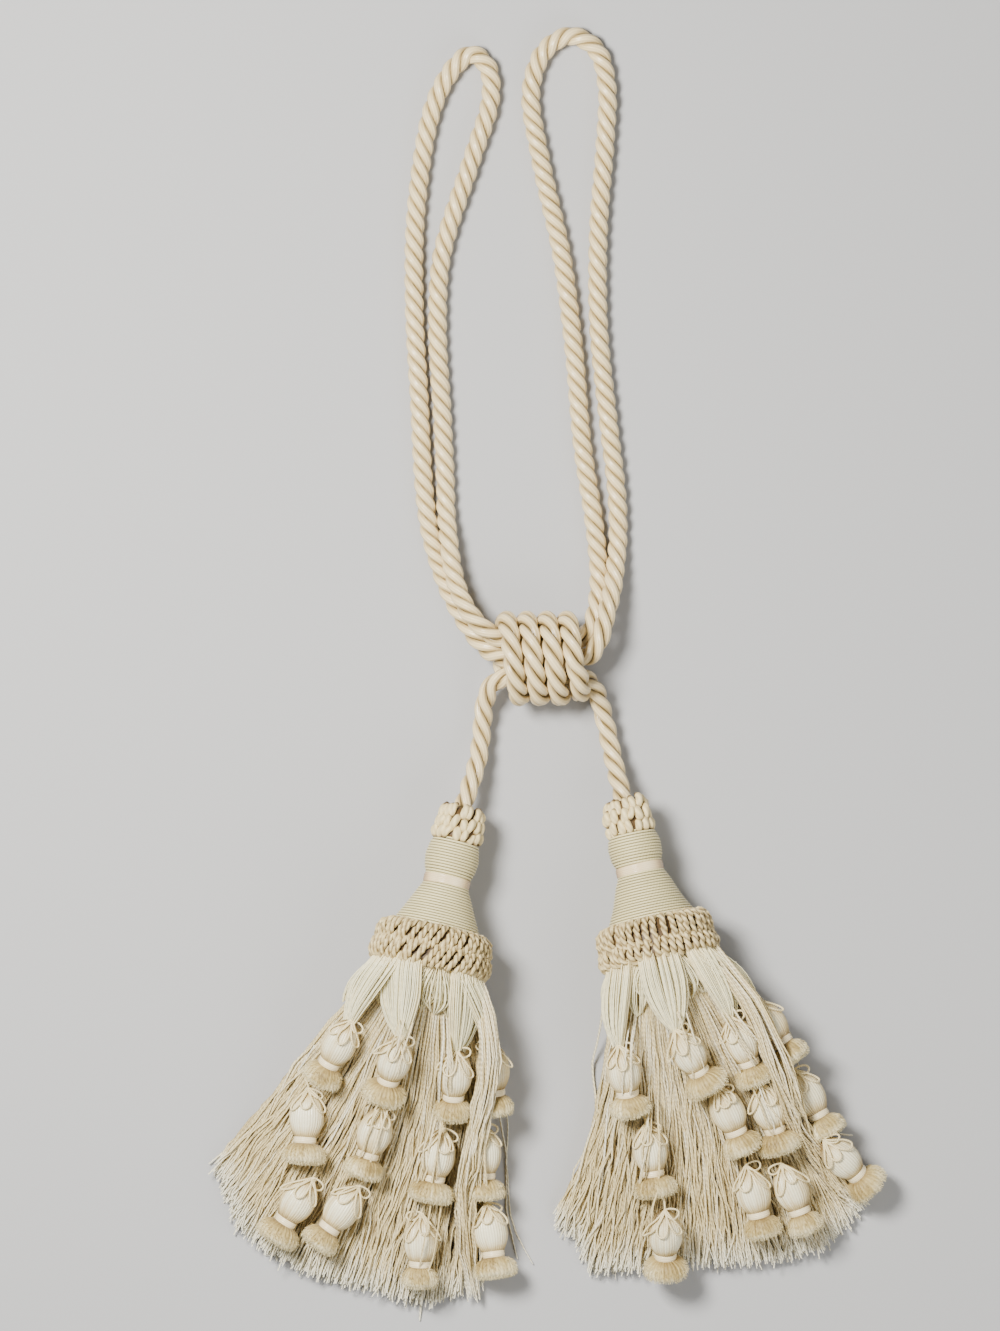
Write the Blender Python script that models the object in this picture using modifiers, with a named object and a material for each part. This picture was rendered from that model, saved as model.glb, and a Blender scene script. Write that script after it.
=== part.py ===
"""Double tassel tie for a curtain, laid flat on its back.

One rope makes the two tall loops and the two tails, a second short rope
winds round it four times, and each tail ends in a tassel: a knotted collar,
a turned head with a satin band, a corded collar in two tiers, a short skirt
of silk locks, a long cut fringe, and three rows of small silk hangers.

Lengths are in millimetres until a vertex is written, X runs to the right
over the floor, Y towards the loops, and Z up from the floor.
"""

import math
import random

import bmesh
import bpy
from mathutils import Matrix, Vector
from mathutils.bvhtree import BVHTree

MM = 0.001
GAP = 0.3

# Rope
ROPE_DIAMETER = 9.0
BINDING_DIAMETER = 9.4
ROPE_VALLEY = 0.76
ROPE_PLIES = 3
PITCH_LOOPS = 23.5
PITCH_TAILS = 31.0
LOOPS_START_Y = 161.0
LOOPS_BLEND = 30.0
RINGS_PER_PITCH = 7
FLOOR_Z = 4.6

# Winding of the short rope round the long one
WIND_CENTRE_Y = 149.2
WIND_CENTRE_Z = 20.1
WIND_HALF_HEIGHT = 19.05
WIND_HALF_DEPTH = 15.3
WIND_PITCH = 10.1
WIND_FIRST_X = -21.5
WIND_SWAY = 0.95
WIND_START_DEG = -112
WIND_END_DEG = 1172
WIND_POINTS_PER_TURN = 24
WIND_TUCK = ((13.0, 142.6, 33.0), (14.0, 138.6, 31.2))

# The three passes of the long rope inside the winding
CORE_LEFT_X = -22.5
CORE_RIGHT_X = 13.0
CORE_TOP_Y = 158.7
PAIR_CENTRE_Y = 144.55
PAIR_RADIUS = 4.7
CORE_STEPS = 8

# Route of the long rope, as x, y, z of its middle line
LEFT_TAIL = (
    (-46.9, 61.5, 22.0),
    (-43.7, 75.9, 20.4),
    (-39.9, 87.5, 16.6),
    (-36.5, 99.5, 11.6),
    (-34.8, 111.5, 8.8),
    (-33.6, 123.5, 10.4),
    (-31.8, 131.5, 14.4),
    (-28.2, 137.4, 18.2),
)
RIGHT_LOOP = (
    (18.8, 150.4, 20.6),
    (22.6, 155.0, 22.0),
    (25.4, 162.0, 21.8),
    (27.6, 171.5, 18.2),
    (30.6, 183.5, 13.2),
    (32.3, 195.5, 8.6),
    (33.6, 211.0, FLOOR_Z),
    (33.0, 231.5, FLOOR_Z),
    (28.8, 267.5, FLOOR_Z),
    (23.9, 315.5, FLOOR_Z),
    (23.8, 363.5, FLOOR_Z),
    (27.2, 409.0, FLOOR_Z),
    (28.0, 436.0, FLOOR_Z),
    (22.8, 454.0, FLOOR_Z),
    (10.0, 461.2, FLOOR_Z),
    (-2.8, 454.0, FLOOR_Z),
    (-10.0, 434.0, FLOOR_Z),
    (-5.3, 399.5, FLOOR_Z),
    (5.3, 351.5, FLOOR_Z),
    (11.5, 303.5, FLOOR_Z),
    (15.8, 255.5, FLOOR_Z),
    (21.3, 219.5, FLOOR_Z),
    (23.8, 195.5, FLOOR_Z),
    (23.8, 183.5, 6.4),
    (22.0, 171.5, 10.2),
    (18.6, 162.4, 14.6),
)
LEFT_LOOP = (
    (-29.0, 161.0, 21.6),
    (-35.5, 165.9, 21.2),
    (-41.6, 173.2, 18.4),
    (-46.4, 183.5, 14.2),
    (-49.4, 195.5, 12.0),
    (-51.1, 207.5, 10.4),
    (-52.4, 221.0, 6.0),
    (-52.8, 236.0, FLOOR_Z),
    (-54.4, 271.0, FLOOR_Z),
    (-56.8, 316.0, FLOOR_Z),
    (-54.5, 351.5, FLOOR_Z),
    (-39.5, 399.5, FLOOR_Z),
    (-30.2, 430.0, FLOOR_Z),
    (-31.8, 445.5, FLOOR_Z),
    (-39.6, 452.0, FLOOR_Z),
    (-48.0, 446.0, FLOOR_Z),
    (-58.8, 426.0, FLOOR_Z),
    (-67.4, 375.5, FLOOR_Z),
    (-68.5, 327.5, FLOOR_Z),
    (-66.0, 279.5, FLOOR_Z),
    (-63.4, 233.0, FLOOR_Z),
    (-60.6, 213.0, FLOOR_Z),
    (-55.8, 195.5, FLOOR_Z),
    (-50.6, 182.0, 5.6),
    (-44.6, 170.5, 8.2),
    (-37.8, 160.2, 11.4),
    (-29.6, 152.2, 15.8),
)
RIGHT_TAIL = (
    (18.0, 138.6, 18.8),
    (22.6, 132.6, 15.0),
    (25.6, 123.5, 10.6),
    (28.5, 111.5, 8.8),
    (31.0, 99.5, 11.6),
    (33.3, 89.5, 16.4),
    (35.9, 79.9, 20.4),
    (39.2, 65.5, 22.0),
)

# Head and collars: radii and stations along the axis, from the head's base towards the rope
HEAD_SIDES = 18
HEAD_BASE_RADIUS = 22.3
HEAD_FOOT = -2.6
HEAD_TOP = 46.0
HEAD_TOP_RADIUS = 8.6
BAND_HALF_WIDTH = 2.4
BAND_THICKNESS = 0.9
TOP_COLLAR_LOBES = 10
TOP_COLLAR_LEAN = 1.0
TOP_COLLAR_BORE = 5.6
BASE_COLLAR_RIBS = 32
BASE_COLLAR_SIDES_INSIDE = 16

# Rows of a collar: station along the axis, radius on a rib, radius between ribs, slant in ribs
TOP_COLLAR_ROWS = (
    (46.3, 10.8, 10.4, 0.0),
    (50.0, 13.2, 11.5, 0.3),
    (54.6, 12.3, 11.5, 0.8),
    (58.8, 12.9, 11.0, 1.3),
    (62.6, 9.6, 8.4, 1.6),
)
BASE_COLLAR_ROWS = (
    (0.6, 25.4, 24.9, 0.0),
    (-4.2, 30.2, 28.5, 0.4),
    (-9.8, 30.0, 28.9, 1.0),
    (-14.8, 31.4, 29.6, 1.4),
    (-19.8, 30.6, 29.1, 1.9),
)
# Bore of the base collar: station along the axis, radius
BASE_COLLAR_BORE = (
    (-20.2, 27.8),
    (-8.0, 27.0),
    (0.2, 23.3),
)

# Fringe
PLUG_RADIUS = 23.0
PLUG_BACK = -3.0
PLUG_FRONT = -19.8
FRINGE_COLUMNS = 24
FRINGE_LAYERS = 4
MIDDLE_HEIGHT = 21.0
HEM_HEIGHT = 9.0
EDGE_THINNING = 0.45
MIDDLE_FILL = 0.80
HEM_FILL = 0.70
HEM_RAGGEDNESS = 3.5
HEM_SWAY = 0.35

# Skirt of silk locks over the fringe's root
COLLAR_INNER = 23.4
COLLAR_OUTER = 25.9
COLLAR_BACK = -9.0
LOCK_POSITIONS = 18
LOCK_FIRST_DEG = -20
LOCK_LAST_DEG = 200
# Cross sections of a lock: way from its root, inner and outer height over the fringe, share of width
LOCK_ROWS = (
    (12.0, 0.9, 3.6, 0.86),
    (22.0, 1.1, 3.4, 0.80),
    (30.0, 1.2, 2.3, 0.42),
)

# Hanger, a turned silk tube with a cut tuft: radius, way along it from its top
HANGER_SIDES = 7
HANGER_PROFILE = (
    (0.0, 0.0),
    (3.6, 0.0),
    (8.0, 5.5),
    (8.4, 15.0),
    (5.6, 22.4),
    (5.2, 25.0),
    (10.2, 29.4),
    (9.9, 34.6),
    (0.0, 34.6),
)
HANGER_BODY_CENTRE = 11.5
HANGER_NOSE_UP_DEG = 3
HANGER_STEEPEST_DEG = -24
HANGER_FLATTEST_DEG = 6
PROBE_REACH = 4.5
DROP_START = 90.0
DROP_STEP = 1.5

# Each tassel: base of the head, middle of its top collar, stations and radii of bulb and waist,
# apex of the fringe's fan, the share of its length at its middle, the angles of its edges from
# straight down there and at the hem, the reach of its root, and the slant of its base collar
TASSELS = {
    "left": {
        "base": (-57.3, 14.35, 27.6),
        "top": (-45.5, 67.5, 21.8),
        "bulb": (36.2, 13.4),
        "waist": (24.4, 11.6),
        "apex": (-29.5, 72.5),
        "middle": 0.42,
        "middle_deg": (-37.8, -0.5),
        "hem_deg": (-38.1, -1.7),
        "root_reach": 84.0,
        "rib_slant": 1.5,
        "seed": 11,
    },
    "right": {
        "base": (50.15, 18.5, 27.6),
        "top": (37.6, 72.55, 21.8),
        "bulb": (39.0, 13.2),
        "waist": (26.3, 11.8),
        "apex": (39.0, 72.0),
        "middle": 0.56,
        "middle_deg": (-6.0, 31.3),
        "hem_deg": (-10.3, 31.3),
        "root_reach": 74.0,
        "rib_slant": 0.5,
        "seed": 23,
    },
}
# Reach of the hem from the fan's apex: share of the way from the left edge, reach
HEMS = {
    "left": (
        (0.0, 224.5), (0.09, 231.0), (0.18, 241.5), (0.3, 245.5), (0.4, 246.5),
        (0.65, 245.0), (0.82, 246.5), (0.9, 243.5), (1.0, 235.5),
    ),
    "right": (
        (0.0, 208.0), (0.07, 212.0), (0.13, 229.0), (0.17, 229.5), (0.25, 227.0), (0.42, 225.5),
        (0.5, 228.5), (0.65, 233.0), (0.75, 236.0), (0.83, 236.5), (0.92, 231.5), (1.0, 227.0),
    ),
}
# Hangers: row and column, body centre x, y, tuft centre x, y
HANGERS = {
    "left": (
        ("11", -105.3, -42.5, -115.0, -60.5),
        ("12", -78.0, -50.3, -83.5, -68.0),
        ("13", -48.0, -58.0, -49.3, -76.5),
        ("14", -29.3, -55.5, -28.0, -74.5),
        ("21", -122.0, -79.5, -123.3, -98.8),
        ("22", -88.0, -87.3, -93.5, -105.0),
        ("23", -56.3, -98.8, -59.5, -116.0),
        ("24", -33.5, -97.5, -33.3, -117.3),
        ("31", -126.3, -121.8, -136.4, -138.0),
        ("32", -104.0, -125.5, -115.3, -141.5),
        ("33", -65.1, -141.5, -65.8, -163.7),
        ("34", -30.3, -137.0, -27.5, -158.0),
    ),
    "right": (
        ("11", 36.0, -56.0, 39.3, -73.5),
        ("12", 67.8, -46.3, 76.5, -61.5),
        ("13", 94.0, -41.3, 100.2, -56.5),
        ("14", 108.5, -32.5, 117.6, -45.2),
        ("21", 49.3, -96.0, 52.3, -116.5),
        ("22", 87.8, -76.0, 95.3, -93.5),
        ("23", 108.3, -74.8, 114.3, -93.5),
        ("24", 128.0, -68.5, 135.9, -83.2),
        ("31", 56.9, -137.9, 57.3, -161.4),
        ("32", 100.8, -117.0, 105.3, -133.8),
        ("33", 120.0, -115.8, 126.3, -132.0),
        ("34", 145.0, -100.3, 158.5, -114.0),
    ),
}

FINISHES = {
    "ivory_rope": (0.80, 0.73, 0.58),
    "wound_cord": (0.62, 0.59, 0.44),
    "satin_band": (0.80, 0.72, 0.56),
    "knotted_cord": (0.66, 0.58, 0.40),
    "fringe_yarn": (0.66, 0.60, 0.44),
    "silk_floss": (0.72, 0.68, 0.54),
    "silk_hanger": (0.72, 0.69, 0.58),
}


def clear_scene():
    for obj in list(bpy.data.objects):
        bpy.data.objects.remove(obj, do_unlink=True)


def make_finishes():
    made = {}
    for name, colour in FINISHES.items():
        material = bpy.data.materials.new(name)
        material.use_nodes = True
        shader = material.node_tree.nodes["Principled BSDF"]
        shader.inputs["Base Color"].default_value = (*colour, 1.0)
        shader.inputs["Roughness"].default_value = 0.6
        shader.inputs["Metallic"].default_value = 0.0
        made[name] = material
    return made


def new_collection(name):
    group = bpy.data.collections.new(name)
    bpy.context.scene.collection.children.link(group)
    return group


def add_object(name, data, group, material=None):
    obj = bpy.data.objects.new(name, data)
    group.objects.link(obj)
    if material is not None:
        data.materials.clear()
        data.materials.append(material)
    return obj


def mesh_from(bm, name):
    bmesh.ops.recalc_face_normals(bm, faces=bm.faces)
    mesh = bpy.data.meshes.new(name)
    bm.to_mesh(mesh)
    bm.free()
    return mesh


def spline(points, step=1.0):
    """Points a step apart on the smooth curve through the given ones."""
    knots = [Vector(p) for p in points]
    knots = [2 * knots[0] - knots[1]] + knots + [2 * knots[-1] - knots[-2]]
    line = []
    for i in range(1, len(knots) - 2):
        a, b, c, d = knots[i - 1:i + 3]
        t0 = 0.0
        t1 = t0 + math.sqrt((b - a).length)
        t2 = t1 + math.sqrt((c - b).length)
        t3 = t2 + math.sqrt((d - c).length)
        count = max(2, round((c - b).length / step))
        for k in range(count):
            t = t1 + (t2 - t1) * k / count
            ab = a.lerp(b, (t - t0) / (t1 - t0))
            bc = b.lerp(c, (t - t1) / (t2 - t1))
            cd = c.lerp(d, (t - t2) / (t3 - t2))
            abc = ab.lerp(bc, (t - t0) / (t2 - t0))
            bcd = bc.lerp(cd, (t - t1) / (t3 - t1))
            line.append(abc.lerp(bcd, (t - t1) / (t2 - t1)))
    line.append(knots[-2])
    return line


def core_pass(side_sign, to_right):
    """One rope of the pair that changes places in half a turn inside the winding."""
    points = []
    for k in range(CORE_STEPS + 1):
        angle = math.pi * k / CORE_STEPS
        x = CORE_LEFT_X + (CORE_RIGHT_X - CORE_LEFT_X) * k / CORE_STEPS
        y = PAIR_CENTRE_Y + side_sign * PAIR_RADIUS * math.cos(angle)
        z = WIND_CENTRE_Z - side_sign * PAIR_RADIUS * math.sin(angle)
        points.append((x, y, z))
    return points if to_right else points[::-1]


def rope_route():
    """Left tail, winding, right loop, winding, left loop, winding, right tail."""
    top_pass = [
        (CORE_RIGHT_X, CORE_TOP_Y, WIND_CENTRE_Z - 1.0),
        (-3.0, CORE_TOP_Y, WIND_CENTRE_Z),
        (CORE_LEFT_X, CORE_TOP_Y, WIND_CENTRE_Z),
    ]
    return [
        *LEFT_TAIL,
        *core_pass(-1, True),
        *RIGHT_LOOP,
        *top_pass,
        *LEFT_LOOP,
        *core_pass(1, True),
        *RIGHT_TAIL,
    ]


def winding_route():
    """Four turns round the long rope, faster across the front than across the back."""
    points = []
    count = round((WIND_END_DEG - WIND_START_DEG) * WIND_POINTS_PER_TURN / 360)
    for k in range(count + 1):
        angle = math.radians(WIND_START_DEG + (WIND_END_DEG - WIND_START_DEG) * k / count)
        points.append((
            WIND_FIRST_X + WIND_PITCH * angle / math.tau - WIND_SWAY * math.cos(angle),
            WIND_CENTRE_Y + WIND_HALF_HEIGHT * math.cos(angle),
            WIND_CENTRE_Z + WIND_HALF_DEPTH * math.sin(angle),
        ))
    return points + list(WIND_TUCK)


def local_pitch(point):
    """The lay of the rope is longer in the tails and the winding than in the loops."""
    blend = min(1.0, max(0.0, (point.y - LOOPS_START_Y) / LOOPS_BLEND))
    return PITCH_TAILS + (PITCH_LOOPS - PITCH_TAILS) * blend


def rope_profile(group):
    """Closed outline of three plies, swept along both ropes."""
    data = bpy.data.curves.new("ply_outline", "CURVE")
    data.dimensions = "2D"
    outline = data.splines.new("POLY")
    outline.points.add(2 * ROPE_PLIES - 1)
    for k, point in enumerate(outline.points):
        angle = -math.pi * k / ROPE_PLIES
        radius = ROPE_DIAMETER / 2 * (ROPE_VALLEY if k % 2 else 1.0) * MM
        point.co = (radius * math.cos(angle), radius * math.sin(angle), 0.0, 1.0)
    outline.use_cyclic_u = True
    obj = add_object("ply_outline", data, group)
    obj.hide_render = True
    obj.display_type = "WIRE"
    return obj


def add_rope(name, route, diameter, profile, group, material):
    """A left-handed rope: the profile turns once in each pitch of the lay, and keeps off the floor."""
    line = spline(route)
    for co in line:
        co.z = max(co.z, diameter / 2)
    turn_per_ring = math.tau / RINGS_PER_PITCH
    rings = [(line[0], 0.0)]
    turned = 0.0
    for a, b in zip(line, line[1:]):
        turned += math.tau * (b - a).length / local_pitch(b)
        if turned - rings[-1][1] >= turn_per_ring:
            rings.append((b, turned))
    if turned - rings[-1][1] < 0.5 * turn_per_ring:
        rings.pop()
    rings.append((line[-1], turned))
    data = bpy.data.curves.new(name, "CURVE")
    data.dimensions = "3D"
    data.twist_mode = "MINIMUM"
    data.bevel_mode = "OBJECT"
    data.bevel_object = profile
    data.use_fill_caps = True
    path = data.splines.new("POLY")
    path.points.add(len(rings) - 1)
    for point, (co, turn) in zip(path.points, rings):
        point.co = (*(co * MM), 1.0)
        point.radius = diameter / ROPE_DIAMETER
        point.tilt = -(turn % math.tau)
    return add_object(name, data, group, material)


class Tassel:
    """Place and sizes of one tassel, with the map from its own axes to the floor's."""

    def __init__(self, side):
        sizes = TASSELS[side]
        self.side = side
        self.base = Vector(sizes["base"])
        self.along = (Vector(sizes["top"]) - self.base).normalized()
        self.across = Vector((self.along.y, -self.along.x, 0.0)).normalized()
        self.up = self.across.cross(self.along)
        self.bulb = sizes["bulb"]
        self.waist = sizes["waist"]
        self.apex = Vector((*sizes["apex"], 0.0))
        self.middle = sizes["middle"]
        self.middle_edges = [math.radians(a) for a in sizes["middle_deg"]]
        self.hem_edges = [math.radians(a) for a in sizes["hem_deg"]]
        self.rib_slant = sizes["rib_slant"]
        self.root_reach = sizes["root_reach"]
        self.hem = HEMS[side]
        self.random = random.Random(sizes["seed"])

    def matrix(self):
        turn = Matrix((self.up, self.across, self.along)).transposed().to_4x4()
        return Matrix.Translation(self.base * MM) @ turn

    def place(self, radius, angle, station):
        """Point at a radius and angle round the axis, 0 to the right and a quarter turn up."""
        out = self.across * math.cos(angle) + self.up * math.sin(angle)
        return self.base + self.along * station + out * radius

    def hem_reach(self, share):
        for (s0, r0), (s1, r1) in zip(self.hem, self.hem[1:]):
            if share <= s1:
                return r0 + (r1 - r0) * (share - s0) / (s1 - s0)
        return self.hem[-1][1]

    def fan_point(self, u, v, t, extra=0.0):
        """Point in the fan: u across from -1 to 1, v up from -1 to 1, t from its root to its hem."""
        share = (u + 1) / 2
        past_middle = (t - self.middle) / (1 - self.middle)
        left, right = [
            middle + (hem - middle) * past_middle
            for middle, hem in zip(self.middle_edges, self.hem_edges)
        ]
        angle = left + (right - left) * share
        reach = self.root_reach + (self.hem_reach(share) - self.root_reach) * t + extra
        height = MIDDLE_HEIGHT + (HEM_HEIGHT - MIDDLE_HEIGHT) * past_middle
        height *= 1 - EDGE_THINNING * abs(u) ** 3
        return self.apex + Vector((
            reach * math.sin(angle),
            -reach * math.cos(angle),
            height * (v + 1) / 2,
        ))

    def disc_point(self, u, v, station, radius):
        """Point of a square grid laid over a round face of the plug."""
        x = u * math.sqrt(1 - v * v / 2)
        y = v * math.sqrt(1 - u * u / 2)
        return self.base + self.along * station + (self.across * x + self.up * y) * radius

    def skin_point(self, angle, way, lift):
        """Point a way down the fringe's skin from the plug's rim, and a lift outside it."""
        c = math.cos(angle)
        s = math.sin(angle)
        largest = max(abs(c), abs(s))
        half = math.sqrt(0.5)
        u = max(-1.0, min(1.0, c / half if largest == abs(s) else math.copysign(1.0, c)))
        v = max(-1.0, min(1.0, s / half if largest == abs(c) else math.copysign(1.0, s)))
        root = self.place(PLUG_RADIUS, angle, PLUG_FRONT)
        run = (self.fan_point(u, v, self.middle) - root).normalized()
        out = self.across * c + self.up * s
        out = (out - run * out.dot(run)).normalized()
        return root + run * way + out * lift


def add_head(tassel, group, material):
    bulb_at, bulb = tassel.bulb
    waist_at, waist = tassel.waist
    core = waist - BAND_THICKNESS - GAP
    outline = (
        (0.0, HEAD_TOP),
        (HEAD_TOP_RADIUS, HEAD_TOP),
        (bulb - 1.4, HEAD_TOP - 2.2),
        (bulb, bulb_at),
        (waist + 1.0, waist_at + 6.0),
        (core, waist_at + BAND_HALF_WIDTH + GAP),
        (core, waist_at - BAND_HALF_WIDTH - GAP),
        (waist + 1.8, waist_at - 6.5),
        (17.6, 9.0),
        (HEAD_BASE_RADIUS - 1.0, 1.8),
        (HEAD_BASE_RADIUS, 0.0),
        (HEAD_BASE_RADIUS - 0.4, HEAD_FOOT),
        (0.0, HEAD_FOOT),
    )
    return add_turned(f"{tassel.side}_head", outline, HEAD_SIDES, tassel.matrix(), group, material)


def add_waist_band(tassel, group, material):
    waist_at, waist = tassel.waist
    inner = waist - BAND_THICKNESS
    outline = (
        (inner, waist_at + BAND_HALF_WIDTH),
        (waist, waist_at + BAND_HALF_WIDTH),
        (waist, waist_at - BAND_HALF_WIDTH),
        (inner, waist_at - BAND_HALF_WIDTH),
        (inner, waist_at + BAND_HALF_WIDTH),
    )
    name = f"{tassel.side}_waist_band"
    return add_turned(name, outline, HEAD_SIDES, tassel.matrix(), group, material)


def add_turned(name, outline, sides, matrix, group, material):
    """Turned solid from its outer side, run from top to bottom."""
    mesh = bpy.data.meshes.new(name)
    points = [(r * MM, 0.0, s * MM) for r, s in outline]
    edges = [(k, k + 1) for k in range(len(points) - 1)]
    mesh.from_pydata(points, edges, [])
    obj = add_object(name, mesh, group, material)
    screw = obj.modifiers.new("turn", "SCREW")
    screw.axis = "Z"
    screw.steps = sides
    screw.render_steps = sides
    screw.use_merge_vertices = True
    screw.merge_threshold = 0.00001
    obj.matrix_world = matrix
    return obj


def ring_of(bm, tassel, station, radii, phase=0.0):
    """Ring of vertices round the axis, pressed flat where it meets the floor."""
    count = len(radii)
    ring = []
    for k, radius in enumerate(radii):
        point = tassel.place(radius, math.tau * (k + phase) / count, station)
        point.z = max(point.z, 0.0)
        ring.append(bm.verts.new(point * MM))
    return ring


def join_rings(bm, rings):
    """Faces between each ring and the next, where one may have a whole multiple of the other's points."""
    for a, b in zip(rings, rings[1:]):
        if len(a) < len(b):
            join_uneven(bm, b, a)
        elif len(a) > len(b):
            join_uneven(bm, a, b)
        else:
            for k in range(len(a)):
                n = (k + 1) % len(a)
                bm.faces.new((a[k], a[n], b[n], b[k]))


def join_uneven(bm, many, few):
    ratio = len(many) // len(few)
    for m in range(len(few)):
        n = (m + 1) % len(few)
        for k in range(ratio):
            first = many[m * ratio + k]
            second = many[(m * ratio + k + 1) % len(many)]
            bm.faces.new((first, second, few[m] if k < ratio / 2 else few[n]))
            if k == ratio // 2 - 1 + ratio % 2:
                bm.faces.new((second, few[n], few[m]))


def add_collar(tassel, name, rows, ribs, lean, bore, bore_sides, group, material):
    """Collar of slanted ribs with an open bore, from its outer rows and its bore rows."""
    bm = bmesh.new()
    outer = []
    for station, on_rib, between, slant in rows:
        radii = [between if k % 2 else on_rib for k in range(2 * ribs)]
        outer.append(ring_of(bm, tassel, station, radii, phase=2 * slant * lean))
    last_slant = rows[-1][3] * lean
    inner = []
    for k, (station, radius) in enumerate(bore):
        slant = last_slant * (1 - k / (len(bore) - 1))
        inner.append(ring_of(bm, tassel, station, [radius] * bore_sides, slant * bore_sides / ribs))
    join_rings(bm, outer + inner + outer[:1])
    return add_object(f"{tassel.side}_{name}", mesh_from(bm, name), group, material)


def grow_cells(bm, cells, shape):
    """Extrude each face on its own and move its corners to where shape puts them."""
    faces = [face for face, _ in cells]
    corners = {face: [v.co.copy() for v in face.verts] for face in faces}
    keys = dict(cells)
    grown = bmesh.ops.extrude_discrete_faces(bm, faces=faces)["faces"]
    result = []
    for new in grown:
        middle = new.calc_center_median()
        nearest = min(corners, key=lambda f: (sum(corners[f], Vector()) / len(corners[f]) - middle).length)
        del corners[nearest]
        key, places = keys[nearest]
        moved = []
        for vert in new.verts:
            index = min(range(len(places)), key=lambda i: (places[i][1] - vert.co).length)
            corner = places[index][0]
            vert.co = shape(key, corner) * MM
            moved.append((corner, vert.co.copy()))
        result.append((new, (key, moved)))
    return result


def add_fringe(tassel, group, material):
    """Plug of yarn roots with a fan of strands, each from one cell of the plug's face."""
    bm = bmesh.new()
    columns = FRINGE_COLUMNS
    layers = FRINGE_LAYERS
    grid = {}
    for i in range(columns + 1):
        for j in range(layers + 1):
            u = 2 * i / columns - 1
            v = 2 * j / layers - 1
            grid[i, j] = bm.verts.new(tassel.disc_point(u, v, PLUG_FRONT, PLUG_RADIUS) * MM)
    cells = []
    for i in range(columns):
        for j in range(layers):
            around = ((0, 0), (1, 0), (1, 1), (0, 1))
            face = bm.faces.new([grid[i + a, j + b] for a, b in around])
            places = [((a, b), grid[i + a, j + b].co.copy()) for a, b in around]
            cells.append((face, ((i, j), places)))
    rim = [e for e in bm.edges if e.is_boundary]
    wall = bmesh.ops.extrude_edge_only(bm, edges=rim)["geom"]
    back = [g for g in wall if isinstance(g, bmesh.types.BMVert)]
    bmesh.ops.translate(bm, verts=back, vec=tassel.along * (PLUG_BACK - PLUG_FRONT) * MM)
    back_edges = [g for g in wall if isinstance(g, bmesh.types.BMEdge)]
    bmesh.ops.contextual_create(bm, geom=[e for e in back_edges if e.is_boundary])

    ragged = {}
    for i in range(columns):
        for j in range(layers):
            length = tassel.random.uniform(-HEM_RAGGEDNESS, HEM_RAGGEDNESS)
            sway = tassel.random.uniform(-HEM_SWAY, HEM_SWAY)
            ragged[i, j] = (length, sway)

    def cell_point(key, corner, t, fill, extra, sway):
        i, j = key
        a, b = corner
        u = 2 * (i + 0.5 + (a - 0.5) * fill + sway) / columns - 1
        low = 0.0 if j == 0 else (1 - fill) / 2
        v = 2 * (j + (low if b == 0 else 1 - (1 - fill) / 2)) / layers - 1
        return tassel.fan_point(u, v, t, extra)

    def middle(key, corner):
        return cell_point(key, corner, tassel.middle, MIDDLE_FILL, 0.0, 0.0)

    def hem(key, corner):
        length, sway = ragged[key]
        return cell_point(key, corner, 1.0, HEM_FILL, length, sway * (1 - HEM_FILL))

    cells = grow_cells(bm, cells, middle)
    grow_cells(bm, cells, hem)
    return add_object(f"{tassel.side}_fringe", mesh_from(bm, "fringe"), group, material)


def add_overskirt(tassel, group, material):
    """Thin collar round the plug, with broad locks that lie over the fringe."""
    bm = bmesh.new()
    count = LOCK_POSITIONS
    phase = 0.5
    rings = [
        ring_of(bm, tassel, PLUG_FRONT, [COLLAR_OUTER] * count, phase),
        ring_of(bm, tassel, COLLAR_BACK, [COLLAR_OUTER] * count, phase),
        ring_of(bm, tassel, COLLAR_BACK, [COLLAR_INNER] * count, phase),
        ring_of(bm, tassel, PLUG_FRONT, [COLLAR_INNER] * count, phase),
    ]
    join_rings(bm, rings + rings[:1])
    bm.faces.ensure_lookup_table()
    front = bm.faces[3 * count:4 * count]
    step = math.tau / count
    cells = []
    for k, face in enumerate(front):
        middle = (k + 1 + phase - 0.5) * step
        degrees = (math.degrees(middle) + 90) % 360 - 90
        if not LOCK_FIRST_DEG - 1 <= degrees <= LOCK_LAST_DEG + 1:
            continue
        n = (k + 1) % count
        places = [
            ((-1, 0), rings[3][k].co.copy()),
            ((1, 0), rings[3][n].co.copy()),
            ((1, 1), rings[0][n].co.copy()),
            ((-1, 1), rings[0][k].co.copy()),
        ]
        cells.append((face, (middle, places)))
    lengths = {key: tassel.random.uniform(0.86, 1.1) for _, (key, _) in cells}
    for way, low, high, share in LOCK_ROWS:
        def shape(key, corner, way=way, low=low, high=high, share=share):
            angle = key + corner[0] * share * step / 2
            return tassel.skin_point(angle, way * lengths[key], high if corner[1] else low)
        cells = grow_cells(bm, cells, shape)
    return add_object(f"{tassel.side}_overskirt", mesh_from(bm, "overskirt"), group, material)


def world_tree(obj):
    """Search tree of an object's evaluated faces, in metres."""
    depsgraph = bpy.context.evaluated_depsgraph_get()
    evaluated = obj.evaluated_get(depsgraph)
    mesh = evaluated.to_mesh()
    points = [obj.matrix_world @ v.co for v in mesh.vertices]
    faces = [tuple(p.vertices) for p in mesh.polygons]
    evaluated.to_mesh_clear()
    return BVHTree.FromPolygons(points, faces)


def hanger_mesh(group, material):
    outline = [(r, -s) for r, s in HANGER_PROFILE]
    source = add_turned("hanger_outline", outline, HANGER_SIDES, Matrix(), group, material)
    depsgraph = bpy.context.evaluated_depsgraph_get()
    mesh = bpy.data.meshes.new_from_object(source.evaluated_get(depsgraph))
    mesh.name = "hanger"
    bpy.data.objects.remove(source, do_unlink=True)
    return mesh


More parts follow.
